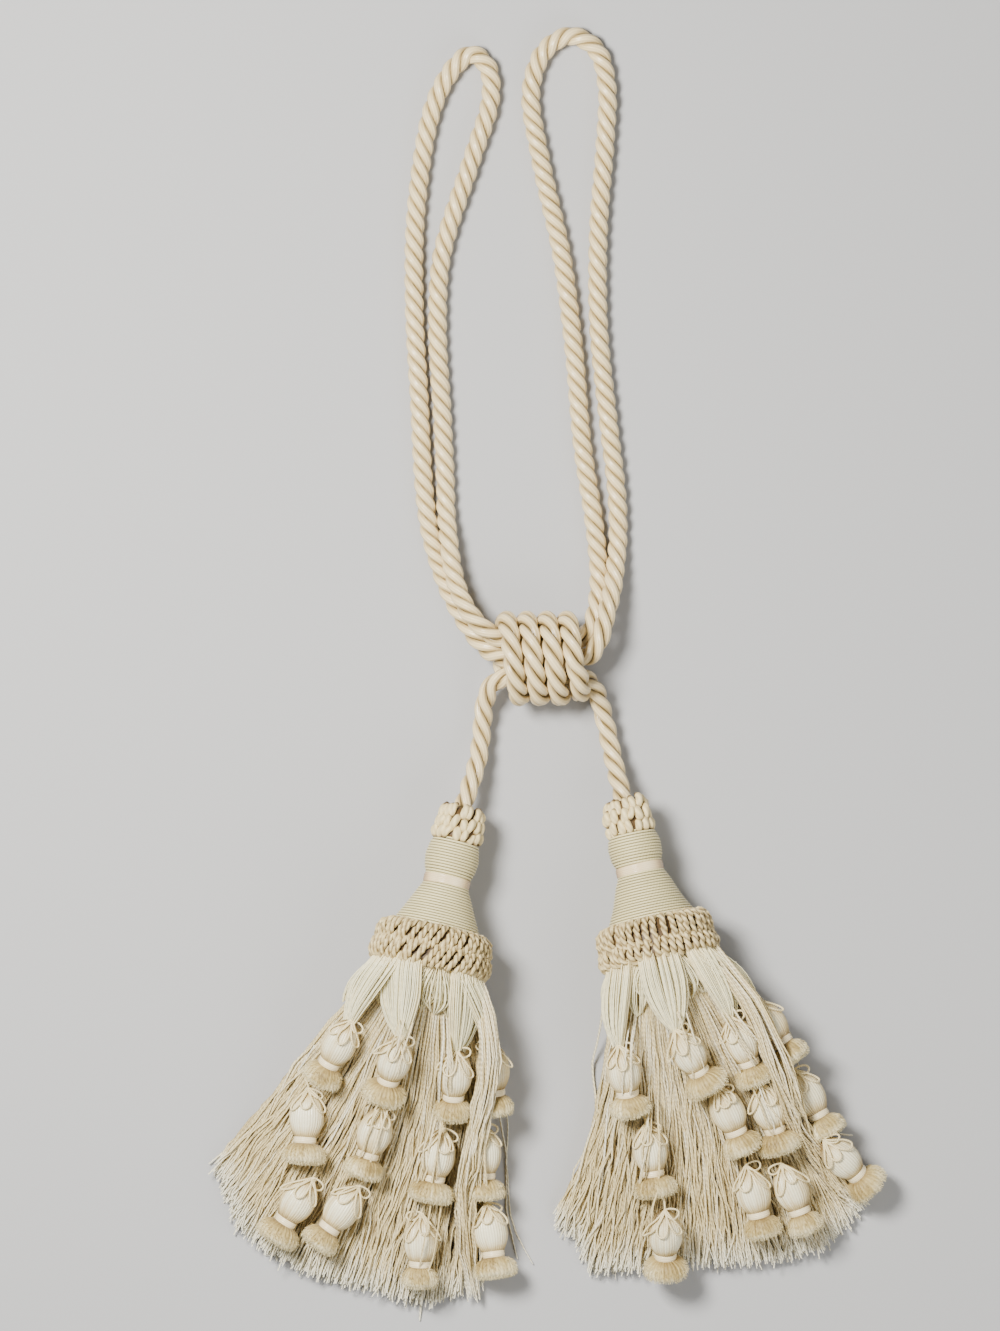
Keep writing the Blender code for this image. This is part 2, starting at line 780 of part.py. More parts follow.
def height_under(x, y, trees):
    """Height of the topmost surface round a place, with the floor at zero."""
    height = 0.0
    for dx, dy in ((0, 0), (1, 0), (-1, 0), (0, 1), (0, -1)):
        start = Vector((x + dx * PROBE_REACH, y + dy * PROBE_REACH, DROP_START))
        for tree in trees:
            hit = tree.ray_cast(start * MM, Vector((0, 0, -1)))[0]
            if hit is not None:
                height = max(height, hit.z / MM)
    return height


def settle(mesh, turn, place, trees):
    """Lower the hanger from above until it meets what lies under it, then leave the gap."""
    faces = [tuple(p.vertices) for p in mesh.polygons]
    turned = [turn @ v.co for v in mesh.vertices]
    lowest = min(v.z for v in turned)

    def meets(z):
        offset = Vector((place[0] * MM, place[1] * MM, z * MM))
        tree = BVHTree.FromPolygons([v + offset for v in turned], faces)
        return any(tree.overlap(other) for other in trees)

    floor = -lowest / MM
    z = DROP_START
    step = DROP_STEP
    while step > 0.04:
        while z - step >= floor and not meets(z - step):
            z -= step
        step /= 2
    rests_on_floor = z - floor < 0.1
    return floor if rests_on_floor else z + GAP


def add_hangers(tassel, mesh, supports, group):
    """Three rows of four hangers, laid on the fringe from the lowest row up."""
    trees = [world_tree(obj) for obj in supports]
    for label, bx, by, tx, ty in reversed(HANGERS[tassel.side]):
        run = Vector((tx - bx, ty - by, 0.0)).normalized()
        at_body = height_under(bx, by, trees)
        at_tuft = height_under(tx, ty, trees)
        span = math.hypot(tx - bx, ty - by)
        slope = math.atan2(at_tuft - at_body, span) + math.radians(HANGER_NOSE_UP_DEG)
        slope = max(math.radians(HANGER_STEEPEST_DEG), min(math.radians(HANGER_FLATTEST_DEG), slope))
        along = run * math.cos(slope) + Vector((0, 0, math.sin(slope)))
        across = along.cross(Vector((0, 0, 1))).normalized()
        turn = Matrix((across, across.cross(along), -along)).transposed().to_4x4()
        top = Vector((bx, by, 0.0)) - along * HANGER_BODY_CENTRE
        z = settle(mesh, turn, (top.x, top.y), trees)
        obj = add_object(f"{tassel.side}_hanger_{label}", mesh, group)
        obj.matrix_world = Matrix.Translation(Vector((top.x, top.y, z)) * MM) @ turn
        bpy.context.view_layer.update()
        trees.append(world_tree(obj))


def main():
    clear_scene()
    finishes = make_finishes()
    part = new_collection("double_tassel_tie")
    helpers = new_collection("outlines")
    profile = rope_profile(helpers)
    ivory = finishes["ivory_rope"]
    add_rope("rope", rope_route(), ROPE_DIAMETER, profile, part, ivory)
    add_rope("binding_rope", winding_route(), BINDING_DIAMETER, profile, part, ivory)
    hanger = hanger_mesh(part, finishes["silk_hanger"])
    for side in TASSELS:
        tassel = Tassel(side)
        add_head(tassel, part, finishes["wound_cord"])
        add_waist_band(tassel, part, finishes["satin_band"])
        top_bore = (
            (TOP_COLLAR_ROWS[-1][0], TOP_COLLAR_BORE),
            (TOP_COLLAR_ROWS[0][0], TOP_COLLAR_BORE),
        )
        add_collar(
            tassel, "top_ruff", TOP_COLLAR_ROWS, TOP_COLLAR_LOBES, TOP_COLLAR_LEAN,
            top_bore, TOP_COLLAR_LOBES, part, finishes["knotted_cord"],
        )
        ruff = add_collar(
            tassel, "base_ruff", BASE_COLLAR_ROWS, BASE_COLLAR_RIBS, tassel.rib_slant,
            BASE_COLLAR_BORE, BASE_COLLAR_SIDES_INSIDE, part, finishes["knotted_cord"],
        )
        fringe = add_fringe(tassel, part, finishes["fringe_yarn"])
        overskirt = add_overskirt(tassel, part, finishes["silk_floss"])
        add_hangers(tassel, hanger, (fringe, overskirt, ruff), part)


main()
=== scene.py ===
import math

import bmesh
import bpy
import numpy as np
from mathutils import Matrix, Vector


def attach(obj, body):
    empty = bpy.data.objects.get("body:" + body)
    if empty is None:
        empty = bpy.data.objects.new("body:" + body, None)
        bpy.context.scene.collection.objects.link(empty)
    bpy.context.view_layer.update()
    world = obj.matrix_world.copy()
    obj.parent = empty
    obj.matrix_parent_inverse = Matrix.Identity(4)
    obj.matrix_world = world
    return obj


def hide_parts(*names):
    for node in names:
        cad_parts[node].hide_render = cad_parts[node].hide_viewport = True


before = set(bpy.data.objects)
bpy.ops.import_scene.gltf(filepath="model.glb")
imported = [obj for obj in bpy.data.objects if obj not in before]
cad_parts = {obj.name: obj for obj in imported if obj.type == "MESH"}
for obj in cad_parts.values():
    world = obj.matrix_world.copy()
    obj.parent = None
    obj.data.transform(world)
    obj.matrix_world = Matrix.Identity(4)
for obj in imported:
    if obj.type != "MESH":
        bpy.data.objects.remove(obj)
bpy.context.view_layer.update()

MM = 0.001

# Camera straight above the tie: the middle of its view, and how much it shows at a level over the floor
VIEW_X = -0.0255
VIEW_Y = 0.1458
VIEW_HEIGHT = 0.6655
VIEW_LEVEL = 0.014
CAMERA_HEIGHT = 6.0
SENSOR_SIDE = 36

# Place, size, power and colour
LIGHTS = {
    "key": ((-0.55, 0.45, 1.25), 0.4, 51.0, (1.0, 0.98, 0.94)),
    "fill": ((0.7, -0.7, 0.9), 0.9, 9.0, (1.0, 0.99, 0.97)),
}
LIGHTS_AIM_BELOW = 0.1
WORLD_STRENGTH = 0.3
FLOOR_COLOUR = (0.42, 0.42, 0.42, 1.0)
FLOOR_HALF = 4
FLOOR_DROP = 0.0002

# Rope, in millimetres as are the lengths in all tables from here to the finishes
ROPE_DIAMETER = 9.0
BINDING_DIAMETER = 9.4
PITCH_LOOPS = 23.5
PITCH_TAILS = 31.0
LOOPS_START_Y = 161.0
LOOPS_BLEND = 30.0
ROPE_STEP = 1.15
ROPE_PLY_SIDES = 10
# A ply's radius, the radius it is laid at and the lowest middle of the rope, for a rope 1 mm thick
PLY_RADIUS = 0.275
LAY_RADIUS = 0.27
ROPE_REST = 0.545
FLOOR_Z = 4.6

WIND_CENTRE_Y = 149.2
WIND_CENTRE_Z = 20.1
WIND_HALF_HEIGHT = 19.05
WIND_HALF_DEPTH = 15.3
WIND_PITCH = 10.1
WIND_FIRST_X = -21.5
WIND_SWAY = 0.95
WIND_START_DEG = -112
WIND_END_DEG = 1172
WIND_POINTS_PER_TURN = 24
WIND_TUCK = ((13.0, 142.6, 33.0), (14.0, 138.6, 31.2))
WIND_END = ((14.6, 134.9, 27.0), (15.0, 132.6, 21.0), (14.6, 132.2, 15.5))

CORE_LEFT_X = -22.5
CORE_RIGHT_X = 13.0
CORE_TOP_Y = 158.7
PAIR_CENTRE_Y = 144.55
PAIR_RADIUS = 4.7
CORE_STEPS = 8

LEFT_TAIL = (
    (-46.9, 61.5, 22.0), (-43.7, 75.9, 20.4), (-39.9, 87.5, 16.6), (-36.5, 99.5, 11.6),
    (-34.8, 111.5, 8.8), (-33.6, 123.5, 10.4), (-31.8, 131.5, 14.4), (-28.2, 137.4, 18.2),
)
RIGHT_LOOP = (
    (18.8, 150.4, 20.6), (22.6, 155.0, 22.0), (25.4, 162.0, 21.8), (27.6, 171.5, 18.2),
    (30.6, 183.5, 13.2), (32.3, 195.5, 8.6), (33.6, 211.0, FLOOR_Z), (33.0, 231.5, FLOOR_Z),
    (28.8, 267.5, FLOOR_Z), (23.9, 315.5, FLOOR_Z), (23.8, 363.5, FLOOR_Z), (27.2, 409.0, FLOOR_Z),
    (28.0, 436.0, FLOOR_Z), (22.8, 454.0, FLOOR_Z), (10.0, 461.2, FLOOR_Z), (-2.8, 454.0, FLOOR_Z),
    (-10.0, 434.0, FLOOR_Z), (-5.3, 399.5, FLOOR_Z), (5.3, 351.5, FLOOR_Z), (11.5, 303.5, FLOOR_Z),
    (15.8, 255.5, FLOOR_Z), (21.3, 219.5, FLOOR_Z), (23.8, 195.5, FLOOR_Z), (23.8, 183.5, 6.4),
    (22.0, 171.5, 10.2), (18.6, 162.4, 14.6),
)
LEFT_LOOP = (
    (-29.0, 161.0, 21.6), (-35.5, 165.9, 21.2), (-41.6, 173.2, 18.4), (-46.4, 183.5, 14.2),
    (-49.4, 195.5, 12.0), (-51.1, 207.5, 10.4), (-52.4, 221.0, 6.0), (-52.8, 236.0, FLOOR_Z),
    (-54.4, 271.0, FLOOR_Z), (-56.8, 316.0, FLOOR_Z), (-54.5, 351.5, FLOOR_Z), (-39.5, 399.5, FLOOR_Z),
    (-30.2, 430.0, FLOOR_Z), (-31.8, 445.5, FLOOR_Z), (-39.6, 452.0, FLOOR_Z), (-48.0, 446.0, FLOOR_Z),
    (-58.8, 426.0, FLOOR_Z), (-67.4, 375.5, FLOOR_Z), (-68.5, 327.5, FLOOR_Z), (-66.0, 279.5, FLOOR_Z),
    (-63.4, 233.0, FLOOR_Z), (-60.6, 213.0, FLOOR_Z), (-55.8, 195.5, FLOOR_Z), (-50.6, 182.0, 5.6),
    (-44.6, 170.5, 8.2), (-37.8, 160.2, 11.4), (-29.6, 152.2, 15.8),
)
RIGHT_TAIL = (
    (18.0, 138.6, 18.8), (22.6, 132.6, 15.0), (25.6, 123.5, 10.6), (28.5, 111.5, 8.8),
    (31.0, 99.5, 11.6), (33.3, 89.5, 16.4), (35.9, 79.9, 20.4), (39.2, 65.5, 22.0),
)

# Stations along a tassel's axis run from the base of its head towards the rope
HEAD_TOP = 46.0
HEAD_TOP_RADIUS = 8.6
HEAD_BASE_RADIUS = 22.3
HEAD_FOOT = -2.6
BAND_HALF_WIDTH = 2.4
HEAD_SIDES = 48
OUTLINE_STEP = 0.25
OUTLINE_ROUNDING = 9
WOUND_CORD = 1.42
WOUND_MARGIN = 0.5
WOUND_RADIUS = 0.52
WOUND_INSET = 0.4
WOUND_SIDES = 8
# How far the wound cord stands out of the head's outline, and how deep into its grooves the painted shade
# reaches
WOUND_CREST = 0.3
WOUND_SHADE_DEPTH = 0.75
WOUND_POINTS_PER_TURN = 44
MOULD_INSET = 1.0
BAND_SIDES = 96
BAND_EDGE_INSET = 0.9
PLUG_RADIUS = 23.0
PLUG_FRONT = -19.8
PLUG_BACK = -9.0
YARNS_FRONT_RADIUS = 22.4
YARNS_BACK_RADIUS = 22.0
MIDDLE_HEIGHT = 21.0
HEM_HEIGHT = 9.0
EDGE_THINNING = 0.45

TASSELS = {
    "left": {
        "base": (-57.3, 14.35, 27.6), "top": (-45.5, 67.5, 21.8),
        "bulb": (36.2, 13.4), "waist": (24.4, 11.6), "apex": (-29.5, 72.5),
        "middle": 0.42, "middle_deg": (-37.8, -0.5), "hem_deg": (-38.1, -1.7),
        "root_reach": 84.0, "rib_lean": 0.27, "rib_bend": 0.0, "tiers_meet": -10.8, "seed": 11,
        "hem": (
            (0.0, 224.5), (0.09, 231.0), (0.18, 241.5), (0.3, 245.5), (0.4, 246.5),
            (0.65, 245.0), (0.82, 246.5), (0.9, 243.5), (1.0, 235.5),
        ),
        # Hangers that yarns fall over: how many yarns, and how wide they spread
        "veils": {
            "12": (3, 0.08), "13": (7, 0.08), "22": (3, 0.08), "23": (5, 0.07), "24": (6, 0.05),
            "33": (3, 0.07),
        },
        # Lock that falls over the outer hangers: how many yarns, half its width, its middle line
        "lock": (50, 5.8, (
            (-44, 3, 34), (-37.5, -12, 39), (-33, -26, 42), (-30.5, -42, 43), (-31, -60, 41),
            (-35.5, -80, 35), (-40, -103, 31), (-43, -122, 24), (-41, -145, 14), (-38.8, -168, 7),
        )),
        "strays": (
            (
                (-34, -20, 30), (-32, -34, 22), (-27, -51.5, 10), (-21.5, -81.5, 2), (-22, -111.5, 1),
                (-18, -136.5, 1), (-9, -154, 1),
            ),
            (
                (-35, -20, 30), (-32.5, -36.5, 20), (-28, -64, 8), (-23, -96.5, 2), (-20.5, -136.5, 1),
                (-16, -150.5, 1),
            ),
            ((-66, -140, 8), (-66.5, -160, 5), (-66, -171.5, 3), (-65.5, -182.5, 1)),
            ((-118, -44, 20), (-126.5, -56.5, 12), (-135, -67.5, 5), (-137.5, -75.5, 2)),
            ((-120, -62, 14), (-139.2, -79, 6), (-154.8, -90.2, 2), (-171.5, -103.6, 1)),
        ),
    },
    "right": {
        "base": (50.15, 18.5, 27.6), "top": (37.6, 72.55, 21.8),
        "bulb": (39.0, 13.2), "waist": (26.3, 11.8), "apex": (39.0, 72.0),
        "middle": 0.56, "middle_deg": (-6.0, 31.3), "hem_deg": (-10.3, 31.3),
        "root_reach": 74.0, "rib_lean": 0.03, "rib_bend": 0.05, "tiers_meet": -12.8, "seed": 23,
        "hem": (
            (0.0, 208.0), (0.07, 212.0), (0.13, 229.0), (0.17, 229.5), (0.25, 227.0), (0.42, 225.5),
            (0.5, 228.5), (0.65, 233.0), (0.75, 236.0), (0.83, 236.5), (0.92, 231.5), (1.0, 227.0),
        ),
        "veils": {
            "11": (3, 0.1), "12": (3, 0.08), "13": (5, 0.12), "21": (4, 0.07), "23": (3, 0.06),
            "31": (2, 0.07),
        },
        "lock": (32, 6.8, (
            (73, 14, 38), (87, -5, 44), (98.5, -20, 46), (106.5, -36, 45), (112, -50, 45),
            (117.5, -67, 41), (124, -84, 30), (134.4, -99, 20), (146, -114, 11), (155, -124, 6),
        )),
        "strays": (
            ((27, -20, 24), (26, -26.5, 18), (23, -45, 6), (20.5, -53, 2), (21.5, -66, 1), (23.5, -93, 2)),
            (
                (92, -2, 30), (101.2, -16.4, 24), (110.4, -24.5, 20), (117.3, -34.8, 14), (122, -45.1, 8),
                (125.3, -56.6, 6),
            ),
            ((130, -80, 14), (143.5, -88, 12), (151, -90, 11)),
        ),
    },
}

# Fringe
YARNS = 1420
YARN_POINTS = 17
YARN_RADIUS = 0.6
YARN_SIDES = 3
YARN_ROUNDING = 2
YARN_WAVE_HEIGHT = 3.0
YARN_WAVE_LENGTH = 24
YARN_DRIFT = 0.06
YARN_LOCKS = 17
LOCK_CLUMP = 0.45
HEM_POINTS = 42
HEM_POINT_PULL = 0.55
HEM_POINT_LENGTH = 3.4
HEM_RAGGED = 1.6
TIPS_START = 0.92
TIPS_BLEND = 0.05
TIPS_TONE = 1.3

# Yarns over a hanger, by the distance down it: they rise before its top, clear its body and come down again
VEIL_START = 18
VEIL_RISE = 15
VEIL_END = 38
VEIL_FALL = 12
VEIL_AIM = 10
VEIL_HALF_WIDTH = 10.5
VEIL_BODY_RADIUS = 9.3
VEIL_CLEARANCE = 0.8
VEIL_DRIFT = 0.05
VEIL_RAGGED = 2.0
VEIL_CLUMP = 0.2

# Floss: a ring of short locks over a span of degrees, and broad skeins to the first row of hangers
FLOSS_LOCKS = 17
FLOSS_THREADS = 34
FLOSS_POINTS = 12
FLOSS_RADIUS = 0.36
FLOSS_WAVE_HEIGHT = 0.9
FLOSS_WAVE_LENGTH = 16
FLOSS_SEED = 5
FLOSS_START_DEG = -28
FLOSS_SPAN_DEG = 236
FLOSS_LENGTHS = (22, 33)
FLOSS_HALF_ANGLES = (0.24, 0.34)
FLOSS_ROOT_RADIUS = 24.4
FLOSS_ROOT = -12.0
SKEIN_STRANDS = 7
SKEIN_THREADS = 27
SKEIN_HALF = 10.6
SKEIN_LOWEST = math.radians(38)
SKEIN_ROOT_RADIUS = 24.0
SKEIN_ROOT = -13.0
SKEIN_RIM_RADIUS = 27.2
SKEIN_RIM = -21.0
SKEIN_TURN_RADIUS = 27.5
SKEIN_NEAR = 0.4
SKEIN_FAR = 0.76
SKEIN_FAR_WIDTH = 0.62

# Ruffs
RIBS = 42
RIB_POINTS = 11
RIB_PLY_RADIUS = 1.15
RIB_LAY_RADIUS = 0.68
RIB_LAY = 8.0
RIB_LOWEST = 2.1
RIB_SIDES = 7
CORE_LOWEST = 0.3
LUMPS = 16
LUMP_POINTS = 9
LUMP_RADIUS = 1.85
LUMP_SIDES = 12
LUMP_LEAN = -2.2
BASE_CORE_SIDES = 48
TOP_CORE_SIDES = 32

# Hangers
KINDS = 7
HANGER_SEED = 100
TUFT_SEED = 60
PILE_SEED = 40
BARREL_SIDES = 72
BARREL_RIDGES = 36
BARREL_RIDGE_HEIGHT = 0.14
WRAP_SIDES = 32
TUFT_SIDES = 72
TUFT_RIDGES = 23
TUFT_RIDGE_HEIGHT = 0.09
TUFT_PATCH_WIDTH = 0.75
# Fibres on a square metre of a tuft
FIBRES_EACH_AREA = 900000.0
FIBRE_LENGTH = 2.3
FIBRE_RADIUS = 0.15
FIBRES_START = 27.0
FIBRES_SPREAD_FROM = 20.0
LOOP_RADIUS = 0.52
LOOP_POINTS = 25
LOOP_SIDES = 6

# Outlines of a hanger's barrel, wrap and tuft: distance down from its top, and radius
BARREL = (
    (-2.2, 0.7), (-1.6, 2.0), (-0.4, 3.6), (1.2, 5.0), (3.2, 6.3), (5.6, 7.4), (8.2, 8.15), (11.0, 8.5),
    (13.8, 8.45), (16.3, 7.95), (18.5, 7.1), (20.3, 6.2), (21.6, 5.4), (23.2, 4.9),
)
WRAP = (
    (21.3, 4.4), (21.4, 5.3), (22.0, 5.65), (22.7, 5.5), (23.4, 5.7), (24.2, 5.5), (25.0, 5.3), (25.1, 4.4),
)
TUFT = (
    (24.6, 4.4), (25.0, 6.0), (25.8, 7.6), (27.0, 8.9), (28.6, 9.7), (30.3, 10.15), (31.9, 10.2),
    (33.1, 9.7), (34.0, 8.4), (34.4, 6.2), (34.5, 3.6), (34.5, 1.5),
)
TUFT_WIDTHS = (0.97, 1.06, 0.92, 0.86, 1.02, 0.95, 1.08)

# Finishes: how fine the noise in patches and the fine noise are, and the relief's depth in metres
PATCH_SCALE = 90.0
FINE_SCALE = 900.0
RELIEF_DEPTH = 0.0003


class Socket:
    """An output socket in a node tree, on which Python maths adds the Math nodes."""

    def __init__(self, nodes, socket):
        self.nodes = nodes
        self.socket = socket

    def math(self, operation, *values):
        return self.nodes.add("ShaderNodeMath", {"operation": operation}, dict(enumerate(values)))

    def __add__(self, other):
        return self.math("ADD", self, other)

    def __sub__(self, other):
        return self.math("SUBTRACT", self, other)

    def __rsub__(self, other):
        return self.math("SUBTRACT", other, self)

    def __mul__(self, other):
        return self.math("MULTIPLY", self, other)

    def __truediv__(self, other):
        return self.math("DIVIDE", self, other)

    def sine(self):
        return self.math("SINE", self)

    def cosine(self):
        return self.math("COSINE", self)

    def clamped(self):
        return self.math("MINIMUM", self.math("MAXIMUM", self, 0.0), 1.0)


class NodeTree:
    """A shader or geometry tree with one way to add any node."""

    def __init__(self, tree):
        self.tree = tree

    def feed(self, socket, value):
        if isinstance(value, Socket):
            self.tree.links.new(value.socket, socket)
        else:
            socket.default_value = value

    def node(self, kind, settings=None, inputs=None):
        node = self.tree.nodes.new(kind)
        for name, value in (settings or {}).items():
            setattr(node, name, value)
        for key, value in (inputs or {}).items():
            self.feed(node.inputs[key], value)
        return node

    def add(self, kind, settings=None, inputs=None, output=0):
        return Socket(self, self.node(kind, settings, inputs).outputs[output])

    def vector(self, operation, *values, output=0):
        settings = {"operation": operation}
        return self.add("ShaderNodeVectorMath", settings, dict(enumerate(values)), output)

    def scaled(self, vector, factor):
        """A vector times a number."""
        return self.add("ShaderNodeVectorMath", {"operation": "SCALE"}, {0: vector, "Scale": factor})

    def combine(self, x, y, z):
        return self.add("ShaderNodeCombineXYZ", None, {0: x, 1: y, 2: z})

    def split(self, vector):
        node = self.node("ShaderNodeSeparateXYZ", None, {0: vector})
        return [Socket(self, out) for out in node.outputs]

    def blend(self, factor, first, second):
        """Mix of two colours."""
        settings = {"data_type": "RGBA", "clamp_factor": True}
        return self.add("ShaderNodeMix", settings, {0: factor, 6: first, 7: second}, 2)

    def named(self, name, kind="FLOAT"):
        """A field of geometry nodes that reads a stored attribute."""
        return self.add("GeometryNodeInputNamedAttribute", {"data_type": kind}, {"Name": name})

    def store(self, shape, name, kind, value):
        """The shape with a value stored at each of its points."""
        settings = {"data_type": kind, "domain": "POINT"}
        inputs = {"Geometry": shape, "Name": name, "Value": value}
        return self.add("GeometryNodeStoreNamedAttribute", settings, inputs)


# Shape trees

def new_growth(name, sizes):
    """A geometry tree with a shape going in and out, and named sizes."""
    group = bpy.data.node_groups.new(name, "GeometryNodeTree")
    face = group.interface
    face.new_socket("Shape", in_out="INPUT", socket_type="NodeSocketGeometry")
    for label, kind in sizes.items():
        face.new_socket(label, in_out="INPUT", socket_type=f"NodeSocket{kind}")
    face.new_socket("Shape", in_out="OUTPUT", socket_type="NodeSocketGeometry")
    nodes = NodeTree(group)
    start = group.nodes.new("NodeGroupInput")
    given = {out.name: Socket(nodes, out) for out in start.outputs if out.name}
    return nodes, given


def end_growth(nodes, shape, finish):
    """Ends a geometry tree: plain geometry in one finish comes out of it."""
    real = nodes.add("GeometryNodeRealizeInstances", None, {"Geometry": shape})
    done = nodes.add("GeometryNodeSetMaterial", None, {"Geometry": real, "Material": finish})
    end = nodes.tree.nodes.new("NodeGroupOutput")
    nodes.feed(end.inputs[0], done)
    return nodes.tree


def sweep(nodes, line, radius, sides):
    """Skin of a line, with its threads' place stored as the cosine, sine and length along it."""
    parameter = nodes.node("GeometryNodeSplineParameter")
    length = Socket(nodes, parameter.outputs["Length"])
    line = nodes.store(line, "along", "FLOAT", length)
    ring = nodes.add("GeometryNodeCurvePrimitiveCircle", None, {"Resolution": sides, "Radius": 1.0})
    position = nodes.add("GeometryNodeInputPosition")
    ring = nodes.store(ring, "ring", "FLOAT_VECTOR", position)
    inputs = {"Curve": line, "Profile Curve": ring, "Scale": radius, "Fill Caps": True}
    skin = nodes.add("GeometryNodeCurveToMesh", None, inputs)
    x, y, _ = nodes.split(nodes.named("ring", "FLOAT_VECTOR"))
    grain = nodes.combine(x, y, nodes.named("along"))
    skin = nodes.store(skin, "grain", "FLOAT_VECTOR", grain)
    return nodes.add("GeometryNodeSetShadeSmooth", None, {"Geometry": skin})


def laid_cord_growth():
    """Plies laid round each line: the line's points hold how far the lay has turned. Each ply's tone, how
    far it lies from the cord's middle, paints shade into the grooves between the plies.
    """
    nodes, given = new_growth("laid_cord", {
        "Plies": "Int", "Ply Radius": "Float", "Lay Radius": "Float", "Sides": "Int", "Finish": "Material",
    })
    line = nodes.add("GeometryNodeMeshToCurve", None, {"Mesh": given["Shape"]})
    position = nodes.add("GeometryNodeInputPosition")
    line = nodes.store(line, "middle", "FLOAT_VECTOR", position)
    inputs = {"Geometry": line, "Amount": given["Plies"]}
    copies = nodes.node("GeometryNodeDuplicateElements", {"domain": "SPLINE"}, inputs)
    line = Socket(nodes, copies.outputs["Geometry"])
    which = Socket(nodes, copies.outputs["Duplicate Index"])
    angle = nodes.named("turn") + which * math.tau / given["Plies"]
    normal = nodes.add("GeometryNodeInputNormal")
    side = nodes.vector("CROSS_PRODUCT", nodes.add("GeometryNodeInputTangent"), normal)
    away = nodes.vector("ADD", nodes.scaled(normal, angle.cosine()), nodes.scaled(side, angle.sine()))
    away = nodes.scaled(away, given["Lay Radius"])
    line = nodes.add("GeometryNodeSetPosition", None, {"Geometry": line, "Offset": away})
    skin = sweep(nodes, line, given["Ply Radius"], given["Sides"])
    # Painted shade: the tone is low where a ply turns in towards the cord's middle, so the grooves between
    # the plies are painted dark.
    reach = nodes.vector("DISTANCE", position, nodes.named("middle", "FLOAT_VECTOR"), output=1)
    tone = reach / (given["Ply Radius"] + given["Lay Radius"])
    skin = nodes.store(skin, "tone", "FLOAT", tone)
    return end_growth(nodes, skin, given["Finish"])


def yarn_growth():
    """Thin uneven yarns along the lines, each with its own waves, kept above the floor."""
    nodes, given = new_growth("loose_yarns", {
        "Yarn Radius": "Float", "Wave Height": "Float", "Wave Length": "Float", "Seed": "Int",
        "Sides": "Int", "Finish": "Material",
    })
    line = nodes.add("GeometryNodeMeshToCurve", None, {"Mesh": given["Shape"]})
    parameter = nodes.node("GeometryNodeSplineParameter")
    way = Socket(nodes, parameter.outputs["Length"]) / given["Wave Length"]
    own = nodes.named("number") * 7.31 + given["Seed"]
    inputs = {"Vector": nodes.combine(way, own, 0.0), "Scale": 1.0, "Detail": 1.0}
    noise = nodes.add("ShaderNodeTexNoise", {"noise_dimensions": "3D"}, inputs, "Color")
    wave = nodes.vector("SUBTRACT", noise, (0.5, 0.5, 0.5))
    wave = nodes.scaled(wave, given["Wave Height"] * nodes.named("loose") * 4.0)
    position = nodes.add("GeometryNodeInputPosition")
    x, y, z = nodes.split(nodes.vector("ADD", position, wave))
    z = z.math("MAXIMUM", z, given["Yarn Radius"])
    inputs = {"Geometry": line, "Position": nodes.combine(x, y, z)}
    line = nodes.add("GeometryNodeSetPosition", None, inputs)
    skin = sweep(nodes, line, given["Yarn Radius"] * nodes.named("thick"), given["Sides"])
    return end_growth(nodes, skin, given["Finish"])


def pile_growth():
    """Short cut fibres that stand on a skin and lean the way it stores."""
    nodes, given = new_growth("cut_pile", {
        "Fibres Each Area": "Float", "Fibre Length": "Float", "Fibre Radius": "Float", "Seed": "Int",
        "Finish": "Material",
    })
    inputs = {
        "Mesh": given["Shape"], "Density": given["Fibres Each Area"], "Seed": given["Seed"],
        "Selection": nodes.named("piled", "BOOLEAN"),
    }
    scatter = nodes.node("GeometryNodeDistributePointsOnFaces", {"distribute_method": "RANDOM"}, inputs)
    points = Socket(nodes, scatter.outputs["Points"])
    inputs = {
        "Vertices": 3, "Side Segments": 1, "Fill Segments": 1, "Depth": given["Fibre Length"],
        "Radius Top": given["Fibre Radius"] * 0.6, "Radius Bottom": given["Fibre Radius"],
    }
    fibre = nodes.add("GeometryNodeMeshCone", {"fill_type": "NGON"}, inputs)
    inputs = {"Geometry": fibre, "Translation": nodes.combine(0.0, 0.0, given["Fibre Length"] * -0.35)}
    fibre = nodes.add("GeometryNodeTransform", None, inputs)
    random = nodes.add("FunctionNodeRandomValue", {"data_type": "FLOAT_VECTOR"}, {
        0: (-0.3, -0.3, -0.3), 1: (0.3, 0.3, 0.3), "Seed": given["Seed"],
    })
    lean = nodes.vector("ADD", nodes.named("run", "FLOAT_VECTOR"), random)
    rotation = nodes.add("FunctionNodeAlignRotationToVector", {"axis": "Z"}, {"Vector": lean})
    inputs = {2: 0.6, 3: 1.15, "Seed": given["Seed"]}
    size = nodes.add("FunctionNodeRandomValue", {"data_type": "FLOAT"}, inputs, 1)
    inputs = {
        "Points": points, "Instance": fibre, "Rotation": rotation,
        "Scale": nodes.combine(1.0, 1.0, size),
    }
    fibres = nodes.add("GeometryNodeInstanceOnPoints", None, inputs)
    both = nodes.node("GeometryNodeJoinGeometry")
    nodes.tree.links.new(given["Shape"].socket, both.inputs[0])
    nodes.tree.links.new(fibres.socket, both.inputs[0])
    return end_growth(nodes, Socket(nodes, both.outputs[0]), given["Finish"])


def added(name, data):
    """Object in the scene, of a mesh, camera or light."""
    obj = bpy.data.objects.new(name, data)
    bpy.context.scene.collection.objects.link(obj)
    return obj


